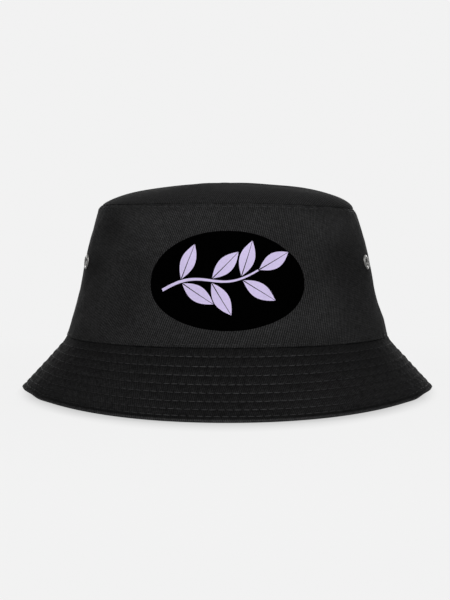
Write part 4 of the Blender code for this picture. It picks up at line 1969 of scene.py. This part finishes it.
@dataclass
class FrontPrint:
    """Transfer print on the front of the crown: a leaf sprig on an oval ground."""

    form: HatForm
    ink: Material
    tint: Material
    ground_width: float = 0.093
    ground_height: float = 0.058
    middle_rise: float = 0.0385
    lift: float = 0.00010
    film: float = 0.00006
    stem_span: float = 0.056
    stem_rise: float = 0.012
    stem_bow: float = 0.003
    stem_width: float = 0.0016
    stem_foot: float = 1.15
    stem_taper: float = 0.5
    stem_offset: float = -0.010
    leaf_length: float = 0.0215
    leaf_width: float = 0.0090
    leaf_power: float = 0.9
    leaf_splay: float = math.radians(52.0)
    leaf_gap: float = 0.0006
    leaf_pairs: int = 3
    leaf_lead: float = 0.6
    midrib: float = 0.0006
    midrib_taper: float = 0.6
    least_blade: float = 0.0001

    def lay(self, across: Array, height: Array, lift: float) -> Array:
        """Points of the film on the front wall.

        Args:
            across: Distances to the right of the print's middle.
            height: Heights above it.
            lift: How far the film stands off the cloth.

        Returns:
            Points, with x, y and z on the last axis.
        """
        form = self.form
        bearing = FRONT + across / (form.half_width - form.crown_taper / 2)
        return form.wall(bearing, self.middle_rise + height, -lift)

    def film_mesh(self, name: str, across: Array, height: Array, level: int, closed: bool = False) -> Mesh:
        """A thin film over a grid of flat coordinates.

        Args:
            name: The mesh's name.
            across: Distances to the right of the print's middle.
            height: Heights above it.
            level: How many films lie under it.
            closed: Whether the grid runs all the way round a middle point.

        Returns:
            The mesh.
        """
        lift = self.lift * (1 + level) + self.film * level
        across, height = np.broadcast_arrays(across, height)
        grid = ClothGrid.even(self.lay(across, height, lift + self.film), pairs(across, height))
        return shell(name, grid, self.lay(across, height, lift), closed=closed, pole=closed)

    def stem_point(self, share: Array | float) -> Array:
        """Points of the stem on the flat print.

        Args:
            share: Shares of the way from its foot to its tip.

        Returns:
            Points, with the distance across and the height on the last axis.
        """
        across = self.stem_offset + self.stem_span * (share - 0.5)
        height = self.stem_rise * (share - 0.5) + self.stem_bow * np.sin(TAU * np.asarray(share))
        return pairs(across, height)

    def stem_heading(self, share: Array | float) -> Array:
        """Directions of the stem at shares of its length."""
        ahead = self.stem_point(share + 0.01) - self.stem_point(share - 0.01)
        return ahead / np.linalg.norm(ahead, axis=-1, keepdims=True)

    def ground(self) -> Piece:
        """The oval ground.

        Returns:
            The piece.
        """
        turn = np.linspace(0.0, TAU, 180, endpoint=False)[:, None]
        share = np.linspace(0.03, 1.0, 34)[None]
        across = self.ground_width / 2 * np.cos(turn) * share
        height = self.ground_height / 2 * np.sin(turn) * share
        mesh = self.film_mesh("print_oval", across, height, 0, closed=True)
        return make_piece("print_oval", mesh, self.ink)

    def stem(self) -> Piece:
        """The stem, thinner towards its tip.

        Returns:
            The piece.
        """
        share = np.linspace(0.0, 1.0, 60)
        heading = self.stem_heading(share)
        side = np.stack([-heading[:, 1], heading[:, 0]], axis=-1)
        half = self.stem_width / 2 * (self.stem_foot - self.stem_taper * share)
        offset = np.linspace(-1.0, 1.0, 5)
        points = self.stem_point(share)[:, None] + (half[:, None] * offset[None])[..., None] * side[:, None]
        mesh = self.film_mesh("print_twig", points[..., 0], points[..., 1], 1)
        return make_piece("print_twig", mesh, self.tint)

    def leaf(self, index: int, foot: Array, heading: Array) -> Piece:
        """One leaf: two blades on either side of its midrib.

        Args:
            index: The leaf's number.
            foot: The place of its foot on the flat print.
            heading: The direction from its foot to its tip.

        Returns:
            The piece.
        """
        side = np.array([-heading[1], heading[0]])
        share = np.linspace(0.0, 1.0, 34)[:, None]
        width = self.leaf_width / 2 * np.sin(math.pi * share) ** self.leaf_power
        rib = self.midrib / 2 * (1.0 - self.midrib_taper * share)
        blade = np.maximum(width, rib + self.least_blade) - rib
        blades = []
        for way in (1.0, -1.0):
            reach = rib + blade * np.linspace(0.0, 1.0, 9)[None]
            points = foot + self.leaf_length * share[..., None] * heading + way * reach[..., None] * side
            blades.append(self.film_mesh(f"print_leaf_{index}", points[..., 0], points[..., 1], 1))
        shape = bmesh.new()
        for half_leaf in blades:
            shape.from_mesh(half_leaf)
        mesh = blades[0]
        shape.to_mesh(mesh)
        shape.free()
        return make_piece(f"print_frond_{index}", mesh, self.tint)

    def build(self) -> Pieces:
        """Every film of the print.

        Returns:
            The films by the name of the solid that they stand for.
        """
        made = {"print_ground": self.ground(), "print_stem": self.stem()}
        feet = []
        for pair in range(self.leaf_pairs):
            share = (pair + self.leaf_lead) / (self.leaf_pairs - 1 + 2 * self.leaf_lead)
            start = (self.stem_width / 2 + self.leaf_gap) / math.sin(self.leaf_splay)
            ahead_x, ahead_y = self.stem_heading(share)
            for splay in (self.leaf_splay, -self.leaf_splay):
                turn_x, turn_y = math.cos(splay), math.sin(splay)
                heading = np.array([ahead_x * turn_x - ahead_y * turn_y, ahead_x * turn_y + ahead_y * turn_x])
                feet.append((self.stem_point(share) + start * heading, heading))
        tip = self.stem_heading(1.0)
        feet.append((self.stem_point(1.0) + self.leaf_gap * tip, tip))
        for index, (foot, heading) in enumerate(feet, start=1):
            made[f"print_leaf_{index}"] = self.leaf(index, foot, heading)
        return made

    def dress(self, made: Pieces) -> None:
        """Attaches every film."""
        for node, film in made.items():
            attach(film, Body.HAT, Slot.INK if node == "print_ground" else Slot.TINT, node)


@dataclass(frozen=True)
class Softbox:
    """A square area light: its name, its place, the length of its side and its power in watts."""

    name: str
    place: Place
    size: float
    power: float

    def light(self, target: Place) -> None:
        """Sets the light up.

        Args:
            target: The point that it faces.
        """
        data = bpy.data.lights.new(self.name, "AREA")
        data.size = self.size
        data.energy = self.power
        lamp = bpy.data.objects.new(self.name, data)
        bpy.context.collection.objects.link(lamp)
        lamp.location = self.place
        lamp.rotation_euler = (Vector(target) - Vector(self.place)).to_track_quat("-Z", "Y").to_euler()


@dataclass
class Studio:
    """Pale floor and background, soft light and the camera."""

    image_width: int = 450
    image_height: int = 600
    backdrop: float = 0.887
    distance: float = 0.95
    eye_height: float = 0.12378
    focal_pixels: float = 1491.4
    horizon_row: float = 205.6
    axis_column: float = 227.3
    ambient: float = 0.22
    softboxes: tuple[Softbox, ...] = (
        Softbox("key", (0.03, -0.74, 0.78), 0.6, 8.8),
        Softbox("back left", (-0.55, 1.15, 0.26), 0.5, 6.0),
        Softbox("back right", (0.55, 1.15, 0.26), 0.5, 6.0),
    )
    target: Place = (0.0, 0.0, 0.08)
    floor_share: float = 0.04
    floor_reach: float = 30.0
    floor_drop: float = 0.0002
    floor_fade: tuple[float, float] = (0.22, 0.5)
    bounce: float = 0.35
    contact_reach: float = 0.055
    contact_shut: float = 0.4
    contact_depth: float = 0.30
    shade_depth: float = 0.345
    shade_ease: float = 1.5
    shade_front: float = 0.1024
    shade_bow: float = 5.34
    shade_lift: float = 142.0
    shade_width: float = 0.039
    shade_sides: tuple[float, float] = (0.126, 0.142)
    shade_back: tuple[float, float] = (0.06, 0.11)

    def camera(self) -> None:
        """The camera, looking a little down at the front of the hat."""
        data = bpy.data.cameras.new("camera")
        data.sensor_fit = "VERTICAL"
        data.sensor_height = 36.0
        data.lens = self.focal_pixels / self.image_height * data.sensor_height
        data.clip_start = 0.01
        data.clip_end = 100.0
        camera = bpy.data.objects.new("camera", data)
        bpy.context.collection.objects.link(camera)
        pitch = math.atan((self.image_height / 2 - self.horizon_row) / self.focal_pixels)
        aside = (self.axis_column - self.image_width / 2) * self.distance / self.focal_pixels
        camera.location = (-aside, -self.distance, self.eye_height)
        camera.rotation_euler = (math.pi / 2 - pitch, 0.0, 0.0)
        bpy.context.scene.camera = camera

    def world(self) -> None:
        """Even light from all round, and the plain background that the camera and metal see."""
        world = bpy.data.worlds.new("studio")
        bpy.context.scene.world = world
        world.use_nodes = True
        nodes = Nodes(world.node_tree)
        light = nodes.tree.nodes["Background"]
        nodes.feed(light.inputs["Color"], grey(1.0))
        nodes.feed(light.inputs["Strength"], self.ambient)
        plain = nodes.add("ShaderNodeBackground", {"Color": grey(self.backdrop)})
        choose = nodes.blend(nodes.seen(), light.outputs[0], plain.outputs[0])
        nodes.feed(nodes.tree.nodes["World Output"].inputs["Surface"], choose)

    def shade(self, nodes: FinishNodes, place: Socket) -> Socket:
        """The soft shadow round the hat: in front it starts where the brim's edge hides the floor.

        Args:
            nodes: The floor's nodes.
            place: The place on the floor.

        Returns:
            The share of the light that is missing.
        """
        spot = nodes.add("ShaderNodeSeparateXYZ", {"Vector": place}).outputs
        square = nodes.product(spot["X"], spot["X"])
        rise = nodes.math("ADD", nodes.product(square, self.shade_lift), self.shade_bow)
        start = nodes.math("SUBTRACT", nodes.product(square, rise), self.shade_front)
        near = nodes.within(nodes.math("SUBTRACT", start, spot["Y"]), 0.0, self.shade_width)
        eased = nodes.math("POWER", near, self.shade_ease)
        beside = nodes.within(nodes.math("ABSOLUTE", spot["X"]), *self.shade_sides)
        front = nodes.within(spot["Y"], *self.shade_back)
        before = nodes.product(eased, beside, self.shade_depth, front)
        open_sky = nodes.add("ShaderNodeAmbientOcclusion", {"Distance": self.contact_reach}, samples=16)
        shut = nodes.within(open_sky.outputs["AO"], self.contact_shut, 1.0)
        behind = nodes.product(shut, self.contact_depth, nodes.math("SUBTRACT", 1.0, front))
        return nodes.math("ADD", before, behind)

    def floor(self) -> None:
        """A wide pale floor that keeps a soft shadow near the hat and fades into the background."""
        mesh = bpy.data.meshes.new("floor")
        reach = self.floor_reach
        corners = [(-reach, -reach, 0.0), (reach, -reach, 0.0), (reach, reach, 0.0), (-reach, reach, 0.0)]
        mesh.from_pydata(corners, [], [(0, 1, 2, 3)])
        floor = bpy.data.objects.new("floor", mesh)
        floor.location = (0.0, 0.0, -self.floor_drop)
        bpy.context.collection.objects.link(floor)
        nodes = FinishNodes("pale floor")
        nodes.set(Base_Color=grey(self.floor_share), Roughness=1.0, Specular_IOR_Level=0.0)
        place = nodes.place()
        lit = nodes.math("SUBTRACT", 1.0, self.shade(nodes, place))
        strength = nodes.product(lit, self.backdrop - self.floor_share)
        glow = nodes.add("ShaderNodeEmission", {"Color": grey(1.0), "Strength": strength})
        plain = nodes.add("ShaderNodeEmission", {"Color": grey(1.0), "Strength": self.backdrop})
        near = nodes.add("ShaderNodeAddShader")
        nodes.feed(near.inputs[0], nodes.shader.outputs[0])
        nodes.feed(near.inputs[1], glow.outputs[0])
        away = nodes.add("ShaderNodeVectorMath", {"Vector": place}, operation="LENGTH").outputs["Value"]
        ends = {"Value": away, "From Min": self.floor_fade[0], "From Max": self.floor_fade[1]}
        fade = nodes.add("ShaderNodeMapRange", ends, interpolation_type="SMOOTHSTEP").outputs["Result"]
        shown = nodes.blend(fade, near.outputs[0], plain.outputs[0])
        bounce = nodes.add("ShaderNodeBsdfDiffuse", {"Color": grey(self.bounce)})
        choose = nodes.blend(nodes.seen(), bounce.outputs[0], shown)
        nodes.feed(nodes.tree.nodes["Material Output"].inputs["Surface"], choose)
        mesh.materials.append(nodes.material)

    def build(self) -> None:
        """Sets the stage."""
        bpy.context.scene.view_settings.view_transform = "Standard"
        self.camera()
        self.world()
        self.floor()
        for box in self.softboxes:
            box.light(self.target)


def main() -> None:
    """Builds the hat piece by piece, then the studio round it."""
    logging.basicConfig(level=logging.INFO, format="%(message)s")
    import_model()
    form = HatForm()
    crown_twill = TwillFinish("charcoal twill", (0.0182, 0.0182, 0.0185)).material()
    # The brim's cloth is drawn darker than the crown's.
    brim_twill = TwillFinish(
        "black brim twill", (0.0097, 0.0097, 0.0099), ridge=0.5, slub=0.32, high_spot_highlight=0.30, edge_highlight=2.6
    ).material()
    tape = PlainWeaveFinish("black tape", (0.012, 0.012, 0.012), pitch=0.0008).material()
    cotton = PlainWeaveFinish("black band cotton", (0.012, 0.012, 0.012)).material()
    satin = PlainWeaveFinish(
        "white satin",
        (0.70, 0.70, 0.68),
        pitch=0.0004,
        contrast=0.06,
        sheen=0.1,
        roughness=0.45,
        gloss=0.4,
        relief_depth=0.00004,
    ).material()
    felt = FeltFinish("white stiffener", (0.55, 0.55, 0.52)).material()
    thread = ThreadFinish("dark grey thread", (0.043, 0.043, 0.044)).material()
    nickel = NickelFinish("nickel plate", (0.155, 0.153, 0.148)).material()
    ink = InkFinish("black print", (0.0005, 0.0005, 0.0005), speckle=0.3, gloss=0.0).material()
    tint = InkFinish("lilac print", (0.630, 0.548, 0.805), speckle=0.05, gloss=0.05).material()

    crown = Crown(form, crown_twill, tape)
    panels = crown.build()
    brim = Brim(form, brim_twill, felt)
    layers = brim.build()
    band = Sweatband(form, cotton)
    band_piece = band.build()
    stitching = Stitching(form, band, StitchTree(thread))
    rows = stitching.build()
    eyelets = Eyelets(form, nickel)
    vents = eyelets.build(panels)
    label = CareLabel(satin)
    label_piece = label.build()
    front_print = FrontPrint(form, ink, tint)
    films = front_print.build()
    crown.dress(panels)
    brim.dress(layers)
    band.dress(band_piece)
    stitching.dress(rows)
    eyelets.dress(vents)
    label.dress(label_piece)
    front_print.dress(films)
    Studio().build()


if __name__ == "__main__":
    main()
